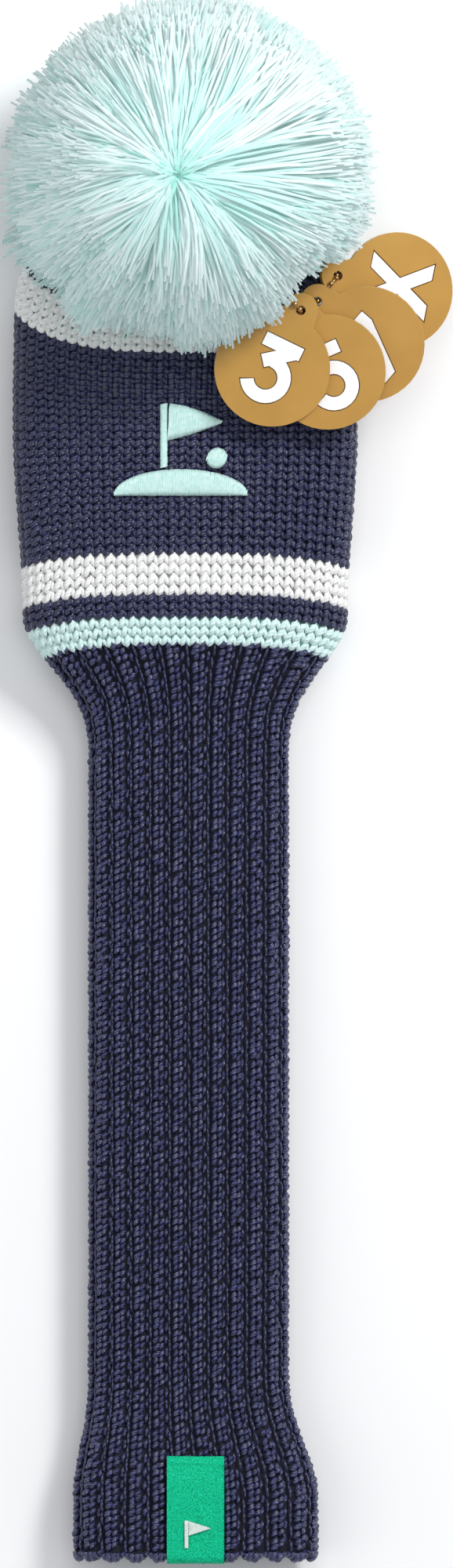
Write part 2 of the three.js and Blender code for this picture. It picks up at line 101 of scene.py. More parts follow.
def skin(u, angle, depth):
    """The point at that depth under the cover's outside. u runs along the cover, angle round it."""
    u, angle, depth = np.broadcast_arrays(*(np.asarray(v, float) for v in (u, angle, depth)))
    shoulder = smooth(*SHOULDER, u) ** 1.8
    flare = (1 - smooth(*FLARE, u)) ** 1.3
    corner = np.clip((u - BEND_START) / (CROWN_END - BEND_START), 0, 1)
    inward = np.clip((u - CROWN_END) / FACE_SPAN, 0, 1)
    bend = np.maximum(0, np.minimum(u, CROWN_END) - BEND_START) / BEND_RADIUS
    width = mix(mix(NECK_HALF_WIDTH, HEM_HALF_WIDTH, flare),
                mix(STRIPE_HALF_WIDTH, POUCH_HALF_WIDTH, smooth(*POUCH_SWELL, u)), shoulder)
    thick = mix(mix(NECK_HALF_THICK, HEM_HALF_THICK, flare), POUCH_HALF_THICK, shoulder)
    level = thick - UNDERSIDE_FLAT
    width = mix(mix(width, CORNER_HALF_WIDTH, corner ** 8), TIE_HOLE_RADIUS, inward)
    thick = mix(mix(thick, CORNER_HALF_THICK, corner ** 3), TIE_HOLE_RADIUS, inward)
    crown_bow = CROWN_BOW * smooth(0, BAND_BOTTOM, u) * (1 - smooth(BAND_TOP, CROWN_END + FACE_SPAN / 2, u))
    stripe_bow = STRIPE_BOW * smooth(*STRIPE_BOW_GROWS, u) * (1 - smooth(*STRIPE_BOW_FADES, u))
    turn = (math.pi / 2) * smooth(*CROWN_TURN, u)
    radial = depth * np.cos(turn)
    across = signed_power(np.cos(angle), 2 / SQUARENESS) * (width - radial)
    rise = signed_power(np.sin(angle), 2 / SQUARENESS) * (thick - radial)
    ahead = ((crown_bow + stripe_bow) * np.abs(np.sin(angle)) ** 1.5
             + FACE_DOME * np.sin(inward * math.pi / 2) - depth * np.sin(turn))
    x = mix(mix(NECK_MIDDLE, HEM_MIDDLE, flare), POUCH_MIDDLE, shoulder) * (1 - corner) + across
    y = np.minimum(u, BEND_START) + BEND_RADIUS * np.sin(bend) + np.cos(bend) * ahead - np.sin(bend) * rise
    z = level + BEND_RADIUS * (1 - np.cos(bend)) + np.sin(bend) * ahead + np.cos(bend) * rise
    return np.stack([x, y, np.maximum(z, depth)], -1)


# Angle at each share of the way round, from the middle of the underside over +X.
U_STEP, SHARES = 1.0, 241
u_rows = np.arange(HEM_RIM - 3, 82, U_STEP)
fine_angles = np.linspace(-math.pi / 2, 1.5 * math.pi, 1441)
angle_table = np.empty((len(u_rows), SHARES))
for row, u_row in enumerate(u_rows):
    ring = skin(u_row, fine_angles, 0.0)
    run = np.concatenate([[0], np.cumsum(np.linalg.norm(np.diff(ring, axis=0), axis=1))])
    angle_table[row] = np.interp(np.linspace(0, run[-1], SHARES), run, fine_angles)


def angle_at(u, share):
    row = np.clip((u - u_rows[0]) / U_STEP, 0, len(u_rows) - 1.001)
    turns = np.floor(share)
    column = (share - turns) * (SHARES - 1)
    r, c = row.astype(int), np.minimum(column.astype(int), SHARES - 2)
    fr, fc = row - r, column - c
    lower = mix(angle_table[r, c], angle_table[r, c + 1], fc)
    upper = mix(angle_table[r + 1, c], angle_table[r + 1, c + 1], fc)
    return mix(lower, upper, fr) + turns * 2 * math.pi


PROBE = 0.3


def on_skin(u, share, depth):
    """Points and outward directions."""
    u, share, depth = np.broadcast_arrays(*(np.asarray(v, float) for v in (u, share, depth)))
    angle = angle_at(u, share)
    return skin(u, angle, depth), unit(skin(u, angle, depth - PROBE) - skin(u, angle, depth + PROBE))


# ------------------------------------------------------------------ meshes
def mesh_object(name, points, faces, material, body=None, uv=None, tone=None, ground=None, ground_from=0):
    """points (n, 3) in millimetres, faces (m, 3 or 4); uv per face corner, tone per point.
    Faces from ground_from on take the ground material."""
    mesh = bpy.data.meshes.new(name)
    mesh.vertices.add(len(points))
    mesh.vertices.foreach_set("co", (np.asarray(points) * MM).astype(np.float32).ravel())
    corners = faces.shape[1]
    mesh.loops.add(faces.size)
    mesh.loops.foreach_set("vertex_index", faces.astype(np.int32).ravel())
    mesh.polygons.add(len(faces))
    mesh.polygons.foreach_set("loop_start", np.arange(0, faces.size, corners, dtype=np.int32))
    mesh.update(calc_edges=True)
    if uv is not None:
        layer = mesh.uv_layers.new(name="UVMap")
        layer.data.foreach_set("uv", uv.astype(np.float32).ravel())
    if tone is not None:
        attribute = mesh.attributes.new("tone", "FLOAT", "POINT")
        attribute.data.foreach_set("value", np.asarray(tone, np.float32).ravel())
    mesh.polygons.foreach_set("use_smooth", np.full(len(faces), True))
    mesh.materials.append(material)
    if ground:
        mesh.materials.append(ground)
        mesh.polygons.foreach_set("material_index", (np.arange(len(faces)) >= ground_from).astype(np.int32))
    made = bpy.data.objects.new(name, mesh)
    scene.collection.objects.link(made)
    if body:
        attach(made, body)
    return made


def tubes(path, outward, wide, deep, sides, tone=None):
    """Closed tubes along many paths (m, k, 3), flattened towards outward, with an even number of sides.
    Returns points, faces, uv, tone."""
    m, k, _ = path.shape
    along = unit(np.gradient(path, axis=1))
    side = unit(np.cross(along, outward))
    up = np.cross(side, along)
    wide, deep = np.broadcast_to(wide, (m, k)), np.broadcast_to(deep, (m, k))
    turn = 2 * math.pi * np.arange(sides) / sides
    points = (path[:, :, None] + (wide[..., None] * np.cos(turn))[..., None] * side[:, :, None]
              + (deep[..., None] * np.sin(turn))[..., None] * up[:, :, None])
    first = np.arange(m)[:, None, None] * k * sides
    ring = np.arange(k - 1)[None, :, None] * sides
    j = np.arange(sides)[None, None]
    here, after = first + ring, (j + 1) % sides
    faces = np.stack([here + j, here + sides + j, here + sides + after, here + after], -1).reshape(-1, 4)
    run = np.cumsum(np.linalg.norm(np.diff(path, axis=1), axis=2), 1)
    length = np.concatenate([np.zeros((m, 1)), run], 1) + rng.uniform(0, 20, (m, 1))
    l0, l1 = length[:, :-1, None] + 0 * j, length[:, 1:, None] + 0 * j
    v0 = np.broadcast_to(np.arange(sides) / sides, l0.shape)
    v1 = v0 + 1 / sides
    uv = np.stack([l0, v0, l1, v0, l1, v1, l0, v1], -1).reshape(-1, 4, 2)
    # Each end is closed by a fan of quads.
    step = 2 * np.arange((sides - 2) // 2)
    fan = np.stack([0 * step, step + 1, step + 2, step + 3], -1)[None]
    for quad, end in ((first + fan, 0), ((first + (k - 1) * sides + fan)[..., ::-1], k - 1)):
        faces = np.concatenate([faces, quad.reshape(-1, 4)])
        place = np.stack([length[:, end, None, None] + 0 * quad, (quad % sides) / sides], -1)
        uv = np.concatenate([uv, place.reshape(-1, 4, 2)])
    if tone is not None:
        tone = np.broadcast_to(np.asarray(tone)[..., None], (m, k, sides)).reshape(-1)
    return points.reshape(-1, 3), faces, uv, tone


def join(parts):
    """Several (points, faces, uv, tone) as one."""
    start, out = 0, []
    for points, faces, uv, tone in parts:
        out.append((points, faces + start, uv, np.zeros(len(points)) if tone is None else tone))
        start += len(points)
    return [np.concatenate([p[i] for p in out]) for i in range(4)]


def face_count(parts):
    return sum(len(part[1]) for part in parts)


def grid_faces(rows, columns):
    """Quads of a sheet of points that closes on itself round its columns."""
    r, c = np.meshgrid(np.arange(rows - 1), np.arange(columns), indexing="ij")
    after = (c + 1) % columns
    here, below = r * columns, (r + 1) * columns
    faces = np.stack([here + c, below + c, below + after, here + after], -1).reshape(-1, 4)
    return faces, (after == 0).ravel()


def skin_grid(u_from, u_to, depth, u_count, share_count):
    """A closed-round sheet; depth is one number, or one for each place round it or each point."""
    u = np.linspace(u_from, u_to, u_count)[:, None] + np.zeros((1, share_count))
    share = np.linspace(0, 1, share_count, endpoint=False)[None] + np.zeros((u_count, 1))
    points = on_skin(u, share, np.broadcast_to(depth, u.shape))[0].reshape(-1, 3)
    faces, wraps = grid_faces(u_count, share_count)
    uv = np.stack([share.ravel()[faces], u.ravel()[faces]], -1)
    uv[wraps, 2:, 0] += 1
    return points, faces, uv * np.array([100, 1.0]), None


# ------------------------------------------------------------------ materials
def new_material(name):
    material = bpy.data.materials.new(name)
    material.use_nodes = True
    tree = material.node_tree
    return material, tree, tree.nodes["Principled BSDF"]


def node(tree, kind, **settings):
    made = tree.nodes.new(kind)
    for key, value in settings.items():
        setattr(made, key, value)
    return made


def math_node(tree, operation, a, b=None):
    made = node(tree, "ShaderNodeMath", operation=operation)
    for socket, value in zip(made.inputs, (a, b)):
        if value is None:
            continue
        if isinstance(value, (int, float)):
            socket.default_value = value
        else:
            tree.links.new(value, socket)
    return made.outputs[0]


def noise(tree, scale, detail=2.0, vector=None):
    made = node(tree, "ShaderNodeTexNoise")
    made.inputs["Scale"].default_value = scale
    made.inputs["Detail"].default_value = detail
    tree.links.new(vector or node(tree, "ShaderNodeTexCoord").outputs["Object"], made.inputs["Vector"])
    return made.outputs["Fac"]


def ramp(tree, fac, stops):
    made = node(tree, "ShaderNodeValToRGB")
    made.color_ramp.elements[0].position, made.color_ramp.elements[0].color = stops[0][0], (*stops[0][1], 1)
    made.color_ramp.elements[1].position, made.color_ramp.elements[1].color = stops[-1][0], (*stops[-1][1], 1)
    for position, color in stops[1:-1]:
        made.color_ramp.elements.new(position).color = (*color, 1)
    tree.links.new(fac, made.inputs["Fac"])
    return made.outputs["Color"]


def bump(tree, height, strength, distance):
    made = node(tree, "ShaderNodeBump")
    made.inputs["Strength"].default_value = strength
    made.inputs["Distance"].default_value = distance
    tree.links.new(height, made.inputs["Height"])
    return made.outputs["Normal"]


FUZZ_SCALE, TONE_SCALE = 5200, 900


def yarn_material(name, dark, light, roughness, sheen, twist=1.0, plies=3, strength=0.5, gloss=0.5):
    """Plied yarn: ridges wind round each tube, with a little fuzz and a change of tone along it. The ridges
    are also painted into the colour, lighter on their crests and darker between them, as painted light and
    shade.
    """
    material, tree, shader = new_material(name)
    uv = node(tree, "ShaderNodeSeparateXYZ")
    tree.links.new(node(tree, "ShaderNodeUVMap", uv_map="UVMap").outputs[0], uv.inputs[0])
    lay = math_node(tree, "ADD", math_node(tree, "MULTIPLY", uv.outputs[0], twist),
                    math_node(tree, "MULTIPLY", uv.outputs[1], float(plies)))
    ridge = math_node(tree, "SINE", math_node(tree, "MULTIPLY", lay, 2 * math.pi))
    fuzz = noise(tree, FUZZ_SCALE, 3)
    height = math_node(tree, "ADD", ridge, math_node(tree, "MULTIPLY", fuzz, 1.4))
    tree.links.new(bump(tree, height, strength, 0.00016), shader.inputs["Normal"])
    mottle = math_node(tree, "MULTIPLY", noise(tree, TONE_SCALE, 3), 0.8)
    # Painted light and shade: ply crests lighter, grooves darker; the mottle is the yarn's own tone.
    ridge_shade_and_tone = math_node(tree, "ADD", math_node(tree, "MULTIPLY", ridge, 0.14),
                      math_node(tree, "ADD", mottle, 0.1))
    tree.links.new(ramp(tree, ridge_shade_and_tone, [(0.25, dark), (0.8, light)]), shader.inputs["Base Color"])
    rough = math_node(tree, "ADD", math_node(tree, "MULTIPLY", fuzz, 0.25), roughness - 0.12)
    tree.links.new(rough, shader.inputs["Roughness"])
    shader.inputs["Sheen Weight"].default_value = sheen
    shader.inputs["Sheen Roughness"].default_value = 0.4
    shader.inputs["Specular IOR Level"].default_value = gloss
    return material


# The same navy yarn in two copies: the ribbing's is painted lighter, as painted light, and the stocking
# stitch's darker, as painted shade.
NAVY = yarn_material("yarn_navy", (0.0045, 0.0055, 0.022), (0.036, 0.042, 0.130),
                     0.31, 0.03, 0.8, 3, 0.6, 0.7)
NAVY_RIB_PAINTED_LIGHT = yarn_material("yarn_navy_rib_painted_light", (0.007, 0.009, 0.034), (0.052, 0.059, 0.190),
                         0.31, 0.05, 0.8, 3, 0.6, 0.85)
WHITE = yarn_material("yarn_white", (0.74, 0.74, 0.72), (0.93, 0.93, 0.92), 0.6, 0.1, 0.8, 3, 0.4)
MINT = yarn_material("yarn_mint", (0.58, 0.82, 0.79), (0.80, 0.96, 0.94), 0.6, 0.1, 0.8, 3, 0.4)
THREAD = yarn_material("thread_mint", (0.46, 0.76, 0.71), (0.78, 0.95, 0.92), 0.30, 0.05, 2.5, 2, 0.3)
TIE = yarn_material("yarn_tie", (0.5, 0.75, 0.7), (0.72, 0.93, 0.9), 0.6, 0.2)


def mottled(name, scale, detail, stops, roughness, grain=None):
    """A colour that varies with noise; grain is the bump's noise scale and detail, strength and distance."""
    material, tree, shader = new_material(name)
    tree.links.new(ramp(tree, noise(tree, scale, detail), stops), shader.inputs["Base Color"])
    if grain:
        tree.links.new(bump(tree, noise(tree, *grain[:2]), *grain[2:]), shader.inputs["Normal"])
    shader.inputs["Roughness"].default_value = roughness
    return material


def speckled(material, scale, detail, amount, least):
    """Roughness that varies with noise, by amount above the least."""
    tree = material.node_tree
    spread = math_node(tree, "MULTIPLY", noise(tree, scale, detail), amount)
    tree.links.new(math_node(tree, "ADD", spread, least), tree.nodes["Principled BSDF"].inputs["Roughness"])


def shaded_ground_material(name, dark, light):
    """The cloth seen between the stitches: matt and fuzzy, and painted darker than its yarn as painted shade
    in the recesses.
    """
    return mottled(name, 1500, 4, [(0.3, dark), (0.75, light)], 0.85, (1500, 4, 0.7, 0.0004))


# Darker copies of each yarn's colour: painted shade between the stitches.
NAVY_SHADED_GROUND = shaded_ground_material("navy_ground_painted_shade", (0.002, 0.0022, 0.008), (0.007, 0.008, 0.026))
WHITE_SHADED_GROUND = shaded_ground_material("white_ground_painted_shade", (0.5, 0.5, 0.48), (0.7, 0.7, 0.68))
MINT_SHADED_GROUND = shaded_ground_material("mint_ground_painted_shade", (0.28, 0.55, 0.5), (0.45, 0.72, 0.67))
GROUND = {NAVY: NAVY_SHADED_GROUND, NAVY_RIB_PAINTED_LIGHT: NAVY_SHADED_GROUND, WHITE: WHITE_SHADED_GROUND, MINT: MINT_SHADED_GROUND}

POM, tree, shader = new_material("yarn_pom")
tone = node(tree, "ShaderNodeAttribute", attribute_name="tone").outputs["Fac"]
shade = math_node(tree, "ADD", tone, math_node(tree, "MULTIPLY", noise(tree, 160, 3), 0.12))
tree.links.new(ramp(tree, shade, [(0.0, (0.27, 0.70, 0.60)), (0.4, (0.43, 0.76, 0.70)),
                                  (0.75, (0.60, 0.80, 0.78)), (1.0, (0.78, 0.88, 0.88))]),
               shader.inputs["Base Color"])
tree.links.new(bump(tree, noise(tree, 3800, 2), 0.3, 0.0001), shader.inputs["Normal"])
shader.inputs["Roughness"].default_value = 0.8
shader.inputs["Specular IOR Level"].default_value = 0.15
shader.inputs["Sheen Weight"].default_value = 0.3
# A faint mint glow: painted light that stands in for light soaking through the pale fibres into the gaps
# between them.
shader.inputs["Emission Color"].default_value = (0.52, 0.84, 0.80, 1)
shader.inputs["Emission Strength"].default_value = 0.15

OCHRE = mottled("tag_satin", 60, 4, [(0.3, (0.43, 0.225, 0.036)), (0.75, (0.50, 0.27, 0.05))], 0.34,
                (2600, 4, 0.12, 0.0001))
speckled(OCHRE, 2600, 4, 0.14, 0.27)
OCHRE.node_tree.nodes["Principled BSDF"].inputs["Specular IOR Level"].default_value = 0.45

# The rounded rim of a tag, painted lighter: a painted highlight along the edge.
OCHRE_RIM_HIGHLIGHT = mottled("tag_rim_painted_highlight", 400, 3, [(0.3, (0.80, 0.55, 0.21)), (0.7, (0.90, 0.63, 0.27))], 0.35)

PAINT = mottled("numeral_paint", 900, 3, [(0.3, (0.88, 0.88, 0.885)), (0.7, (0.905, 0.905, 0.91))], 0.5,
                (3000, 3, 0.1, 0.0001))

BRASS = mottled("antique_brass", 500, 4, [(0.3, (0.24, 0.12, 0.045)), (0.62, (0.66, 0.42, 0.19))], 0.25)
speckled(BRASS, 900, 3, 0.25, 0.12)
BRASS.node_tree.nodes["Principled BSDF"].inputs["Metallic"].default_value = 1.0

LINING = mottled("lining_fabric", 1400, 4, [(0.3, (0.03, 0.034, 0.06)), (0.7, (0.055, 0.06, 0.1))], 0.9,
                 (2200, 4, 0.5, 0.0003))

PLASTIC = mottled("button_plastic", 300, 3, [(0.3, (0.02, 0.022, 0.04)), (0.7, (0.035, 0.038, 0.06))], 0.4)

WEFT_PITCH, WARP_PITCH, WEFT_SLANT = 0.42, 0.28, 0.5


def woven_material(name, dark, light):
    """Satin ribbon: fine weft lines across it, warp dots between them, and glints; the weave and glints are
    bumps, and are also painted into the colour as painted highlights and shade.
    """
    material, tree, shader = new_material(name)
    place = node(tree, "ShaderNodeSeparateXYZ")
    tree.links.new(node(tree, "ShaderNodeUVMap", uv_map="UVMap").outputs[0], place.inputs[0])
    slant = math_node(tree, "MULTIPLY", place.outputs[0], WEFT_SLANT)
    slant = math_node(tree, "ADD", place.outputs[1], slant)
    weft = math_node(tree, "SINE", math_node(tree, "MULTIPLY", slant, 2 * math.pi / WEFT_PITCH))
    warp = math_node(tree, "SINE", math_node(tree, "MULTIPLY", place.outputs[0], 2 * math.pi / WARP_PITCH))
    cloth = math_node(tree, "ADD", math_node(tree, "MULTIPLY", weft, 0.7),
                      math_node(tree, "MULTIPLY", warp, 0.3))
    glint = noise(tree, 3000, 3)
    lift = math_node(tree, "ADD", math_node(tree, "MULTIPLY", cloth, 0.4),
                     math_node(tree, "MULTIPLY", glint, 3.0))
    tree.links.new(bump(tree, lift, 0.5, 0.0001), shader.inputs["Normal"])
    # Painted highlights: the glints and the weave's crests lighten the colour.
    shade = math_node(tree, "ADD", math_node(tree, "MULTIPLY", cloth, 0.07), glint)
    tree.links.new(ramp(tree, shade, [(0.36, dark), (0.66, light)]), shader.inputs["Base Color"])
    shader.inputs["Roughness"].default_value = 0.5
    shader.inputs["Specular IOR Level"].default_value = 0.06
    return material


GREEN = woven_material("label_satin", (0.0, 0.30, 0.135), (0.012, 0.68, 0.37))
LABEL_WHITE = woven_material("label_thread", (0.62, 0.74, 0.68), (0.9, 0.94, 0.92))

# ------------------------------------------------------------------ cloth
# Nothing comes nearer than this to the surface that the cover lies on.
FLOOR_GAP = 0.05


def pitch_at(u, place, count):
    """The width of one of count columns round the cover."""
    return np.linalg.norm(on_skin(u, (place + 1) / count, 0.5)[0] - on_skin(u, place / count, 0.5)[0], axis=1)


def cloth_piece(name, yarns, sheets, material, body, node_name):
    """Yarns over the sheets of cloth that they stand on."""
    points, faces, uv, _ = join(yarns + sheets)
    points[:, 2] = np.maximum(points[:, 2], FLOOR_GAP)
    made = mesh_object(name, points, faces, material, body, uv, None, GROUND[material], face_count(yarns))
    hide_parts(node_name)
    return made


# ------------------------------------------------------------------ stocking stitch
WALES = 72
GROUND_DEPTH = 2.0
# Each leg of a stitch, from its tip: places along it, and its girth there.
LEG_PLACES = np.array([0.0, 0.13, 0.32, 0.54, 0.78, 1.0])
LEG_GIRTHS = np.array([0.36, 0.9, 1.12, 1.06, 0.8, 0.4])
# Half a leg's width as a share of its column's.
LEG_SHARE = 0.262


def stitches(u_top, u_bottom, rows):
    """Each stitch is a V of two legs, its tip towards the mouth and over the row below."""
    height = (u_top - u_bottom) / rows
    t, legs = LEG_PLACES, LEG_GIRTHS[None]
    wale, row = (g.ravel() for g in np.meshgrid(np.arange(WALES), np.arange(rows), indexing="ij"))
    n = len(wale)
    parts = []
    # One leg is fatter and lies over the other.
    for hand, girth, sink, shift in ((-1, 1.15, 0.0, 0.02), (1, 0.92, 0.22, 0.07)):
        tip = u_top - (row + 1) * height + rng.normal(0, 0.05, n) * height
        size = 1 + rng.normal(0, 0.045, n)
        u = tip[:, None] + height * (-0.2 + 1.5 * t)[None] * size[:, None]
        lean = hand * (0.03 + 0.46 * np.minimum(t / 0.8, 1) ** 1.05) + shift
        share = (wale[:, None] + 0.5 + lean[None] + rng.normal(0, 0.02, (n, 1))) / WALES
        depth = 0.80 + sink + 1.25 * t ** 2 + 0.4 * (1 - np.minimum(t / 0.2, 1)) + rng.normal(0, 0.05, (n, 1))
        path, out = on_skin(u, share, depth)
        wide = LEG_SHARE * pitch_at(tip, wale, WALES)[:, None] * girth * legs * size[:, None]
        parts.append(tubes(path, out, wide, np.minimum(wide * 0.95, 0.78 * legs), 6))
    return parts


def knit_piece(name, u_top, u_bottom, rows, material, node_name):
    """A band of stocking stitch, with the cloth behind the stitches and its back inside."""
    ground = skin_grid(u_bottom, u_top, GROUND_DEPTH, max(3, rows * 2), 2 * WALES)
    inside = skin_grid(u_top, u_bottom, KNIT_THICK - 0.1, max(3, rows), 2 * WALES)
    legs = stitches(u_top, u_bottom, rows)
    made = cloth_piece(name, legs, [ground, inside], material, "cover", node_name)


BODY_SPLIT = 3.4
knit_piece("knit_crown_band", BAND_TOP, BAND_BOTTOM, 5, WHITE, "crown_band")
knit_piece("knit_body_upper", BAND_BOTTOM, BODY_SPLIT, 14, NAVY, "body_navy")
knit_piece("knit_body_lower", BODY_SPLIT, WHITE_TOP, 14, NAVY, "body_navy")
knit_piece("knit_stripe_white", WHITE_TOP, WHITE_BOTTOM, 4, WHITE, "stripe_white")
knit_piece("knit_stripe_navy", WHITE_BOTTOM, MINT_TOP, 3, NAVY, "stripe_navy")
knit_piece("knit_stripe_mint", MINT_TOP, MINT_BOTTOM, 3, MINT, "stripe_mint")

# The crown above the band: stitches as far as the corner, then gathers drawn in to the tie.
STITCHES_END, GATHERS_START, GATHERS_END, FOLDS = 62, 60, 79, 18
legs = stitches(STITCHES_END, BAND_TOP, 5)
share = np.arange(FOLDS * 8) / (FOLDS * 8)
swell = np.sin(np.linspace(0.2, math.pi * 0.9, 14))[:, None]
pleat = 0.55 * np.cos(share * FOLDS * 2 * math.pi)[None] * swell
sheets = [skin_grid(GATHERS_START, GATHERS_END, 0.9 + pleat, 14, FOLDS * 8),
          skin_grid(BAND_TOP, STITCHES_END, GROUND_DEPTH, 10, 2 * WALES),
          skin_grid(GATHERS_END, BAND_TOP, KNIT_THICK - 0.1, 20, 2 * WALES)]
crown = cloth_piece("knit_crown_navy", legs, sheets, NAVY, "cover", "crown_navy")

# ------------------------------------------------------------------ ribbing
RIBS = 24
COURSE = 3.62
USUAL_PITCH = 5.46
# The bell along each short stitch: its girth at five places.
BELL_PLACES, BELL_GIRTHS = np.linspace(-1, 1, 5), np.array([0.42, 0.9, 1.0, 0.9, 0.42])
# The yarns of a rib: a sunk slanted one, a fine straight line, and two columns of short slanted stitches.
# Place in the rib, tilt, length, half width, half depth, depth, place in the course, bend of the ends inward.
RIB_YARNS = [
    (-0.02, -0.014, 0.54, 0.30, 0.36, 1.0, 0.0, 0.4),
    (0.17, 0.05, 0.40, 0.50, 0.45, 1.5, 0.5, 0.45),
    (0.405, 0.086, 0.225, 0.60, 0.68, 0.86, 0.0, 0.8),
    (0.405, 0.086, 0.225, 0.60, 0.68, 0.86, 0.5, 0.8),
    (0.665, 0.10, 0.24, 0.70, 0.76, 0.78, -0.12, 0.8),
    (0.665, 0.10, 0.24, 0.70, 0.76, 0.78, 0.38, 0.8),
]
# The crest of each rib, where the cloth behind the stitches stands out.
CREST_PLACE, CREST_SPREAD = 0.575, 0.17
FRONT_DEPTH, FRONT_RISE, BACK_DEPTH, BACK_RISE = 2.35, 1.05, 3.25, 0.4


def rib_parts(u_top, u_bottom):
    """The yarns of the ribs between two places along the cover."""
    rows = int(round((u_top - u_bottom) / COURSE))
    height = (u_top - u_bottom) / rows
    rib, row = (g.ravel() for g in np.meshgrid(np.arange(RIBS), np.arange(rows), indexing="ij"))
    middle = u_top - (row + 0.5) * height
    spread = ((pitch_at(middle, rib, RIBS) / USUAL_PITCH) ** 0.95)[:, None]
    t, bell = BELL_PLACES[None], BELL_GIRTHS[None]
    parts = []
    for place, tilt, length, wide, deep, depth, along, ends in RIB_YARNS:
        jitter = rng.normal(0, 1, (4, len(rib), 1))
        u = middle[:, None] + height * (along + 0.06 * jitter[0] - length * t * (1 + 0.08 * jitter[1]))
        share = (rib[:, None] + place + tilt * t * (1 + 0.3 * jitter[2]) + 0.014 * jitter[3]) / RIBS
        sink = depth + ends * np.abs(t) ** 2.2 + 0.11 * jitter[1]
        path, out = on_skin(np.clip(u, u_bottom - 1.2, None), share, sink)
        girth = bell * spread * (1 + 0.06 * jitter[2])
        parts.append(tubes(path, out, wide * girth, deep * bell * spread ** 0.4, 6))
    return parts


def rib_ground(u_top, u_bottom):
    """The cloth behind the stitches, sunk between the ribs, and the back of the cloth inside."""
    rows, around = max(4, int((u_top - u_bottom) / 2.5)), RIBS * 8
    place = (np.arange(around) / around * RIBS) % 1
    crest = np.exp(-((place - CREST_PLACE) / CREST_SPREAD) ** 2)
    return [skin_grid(u_bottom, u_top, FRONT_DEPTH - FRONT_RISE * crest, rows, around),
            skin_grid(u_top, u_bottom, BACK_DEPTH - BACK_RISE * crest, rows, around)]


def rib_piece(name, u_top, u_bottom, body, node_name, extra=()):
    yarns = rib_parts(u_top, u_bottom) + list(extra)
    made = cloth_piece(name, yarns, rib_ground(u_top, u_bottom), NAVY_RIB_PAINTED_LIGHT, body, node_name)
    return made


NECK_SPLIT = -189
rib_piece("rib_shoulder", MINT_BOTTOM, FLEX_TOP, "cover", "shoulder_rib")
flex = rib_piece("rib_flex", FLEX_TOP, FLEX_BOTTOM, None, "neck_flex")
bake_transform(flex)
rib_piece("rib_neck_upper", FLEX_BOTTOM, NECK_SPLIT, "neck", "neck_rib")
rib_piece("rib_neck_lower", NECK_SPLIT, HEM_TOP, "neck", "neck_rib")

# The rim: each rib turns over the edge of the mouth in five loops, some of them sunk.
# Place in the rib, half width, reach past the rim.
RIM_LOOPS = ((0.27, 0.6, 0.25), (0.455, 0.72, 1.05), (0.68, 0.72, 1.15), (0.86, 0.6, 0.35), (0.06, 0.5, -0.6))
RIM_MIDDLE, RIM_CURL, RIM_INSET, RIM_AXIS, LOOP_HALF_DEPTH = 1.85, 1.05, 0.9, 2.2, 0.7
loops = []
rib, turn = np.arange(RIBS)[:, None], np.linspace(0, math.pi, 9)[None]
for place, wide, reach in RIM_LOOPS:
    share = (rib + place + 0 * turn) / RIBS
    u = HEM_RIM + RIM_INSET - (RIM_INSET + reach) * np.sin(turn) + 0.15 * rng.normal(0, 1, (RIBS, 1))
    path = on_skin(u, share, RIM_MIDDLE - RIM_CURL * np.cos(turn))[0]
    out = unit(path - on_skin(HEM_RIM + RIM_AXIS, share, RIM_MIDDLE)[0])
    loops.append(tubes(path, out, wide * 1.25, LOOP_HALF_DEPTH, 8))
rib_piece("rib_hem", HEM_TOP, HEM_RIM + 1, "neck", "hem_rib", loops)

# ------------------------------------------------------------------ pom-pom
POM_CENTRE, POM_RADII = np.array([0, 74.1, 46]), np.array([48.5, 45.8, 45.6])
# The parting where the strands spring from, off the middle.
POLE = np.array([-2.6, -1.8, 0])
# How far the strands' normals lean towards the ball's.
SOFTNESS = 0.65
STRAND_RADIUS, STRAND_FLATNESS, LOCK_SIZE = 0.33, 0.6, 30
# Strands that would have to rise further than this over what lies below are left out.
MOST_LIFT = 11

# Where the trimmed outline runs long or short: the angle, its spread and the share of the radius.
# The last one is where the tags push the strands back.
UNEVEN = [(-2.64, 0.2, 0.07), (-2.16, 0.13, 0.08), (-1.87, 0.12, -0.03), (-1.5, 0.12, 0.02),
          (-1.2, 0.12, -0.02), (-0.80, 0.2, -0.12)]


def furrows(turn):
    """How deep in a furrow between two locks a strand lies, from 0 to 1."""
    wave = (np.sin(7 * turn + 0.4) + 0.8 * np.sin(11 * turn + 2.1) + 0.7 * np.sin(17 * turn + 4.4)
            + 0.5 * np.sin(29 * turn + 1.0))
    return np.clip((wave - 0.9) / 1.3, 0, 1)


def direction(polar, turn, sign=1.0):
    """A unit vector at an angle from the pole and round it; sign -1 counts from the lower pole."""
    return np.stack([np.sin(polar) * np.cos(turn), np.sin(polar) * np.sin(turn), sign * np.cos(polar)], -1)


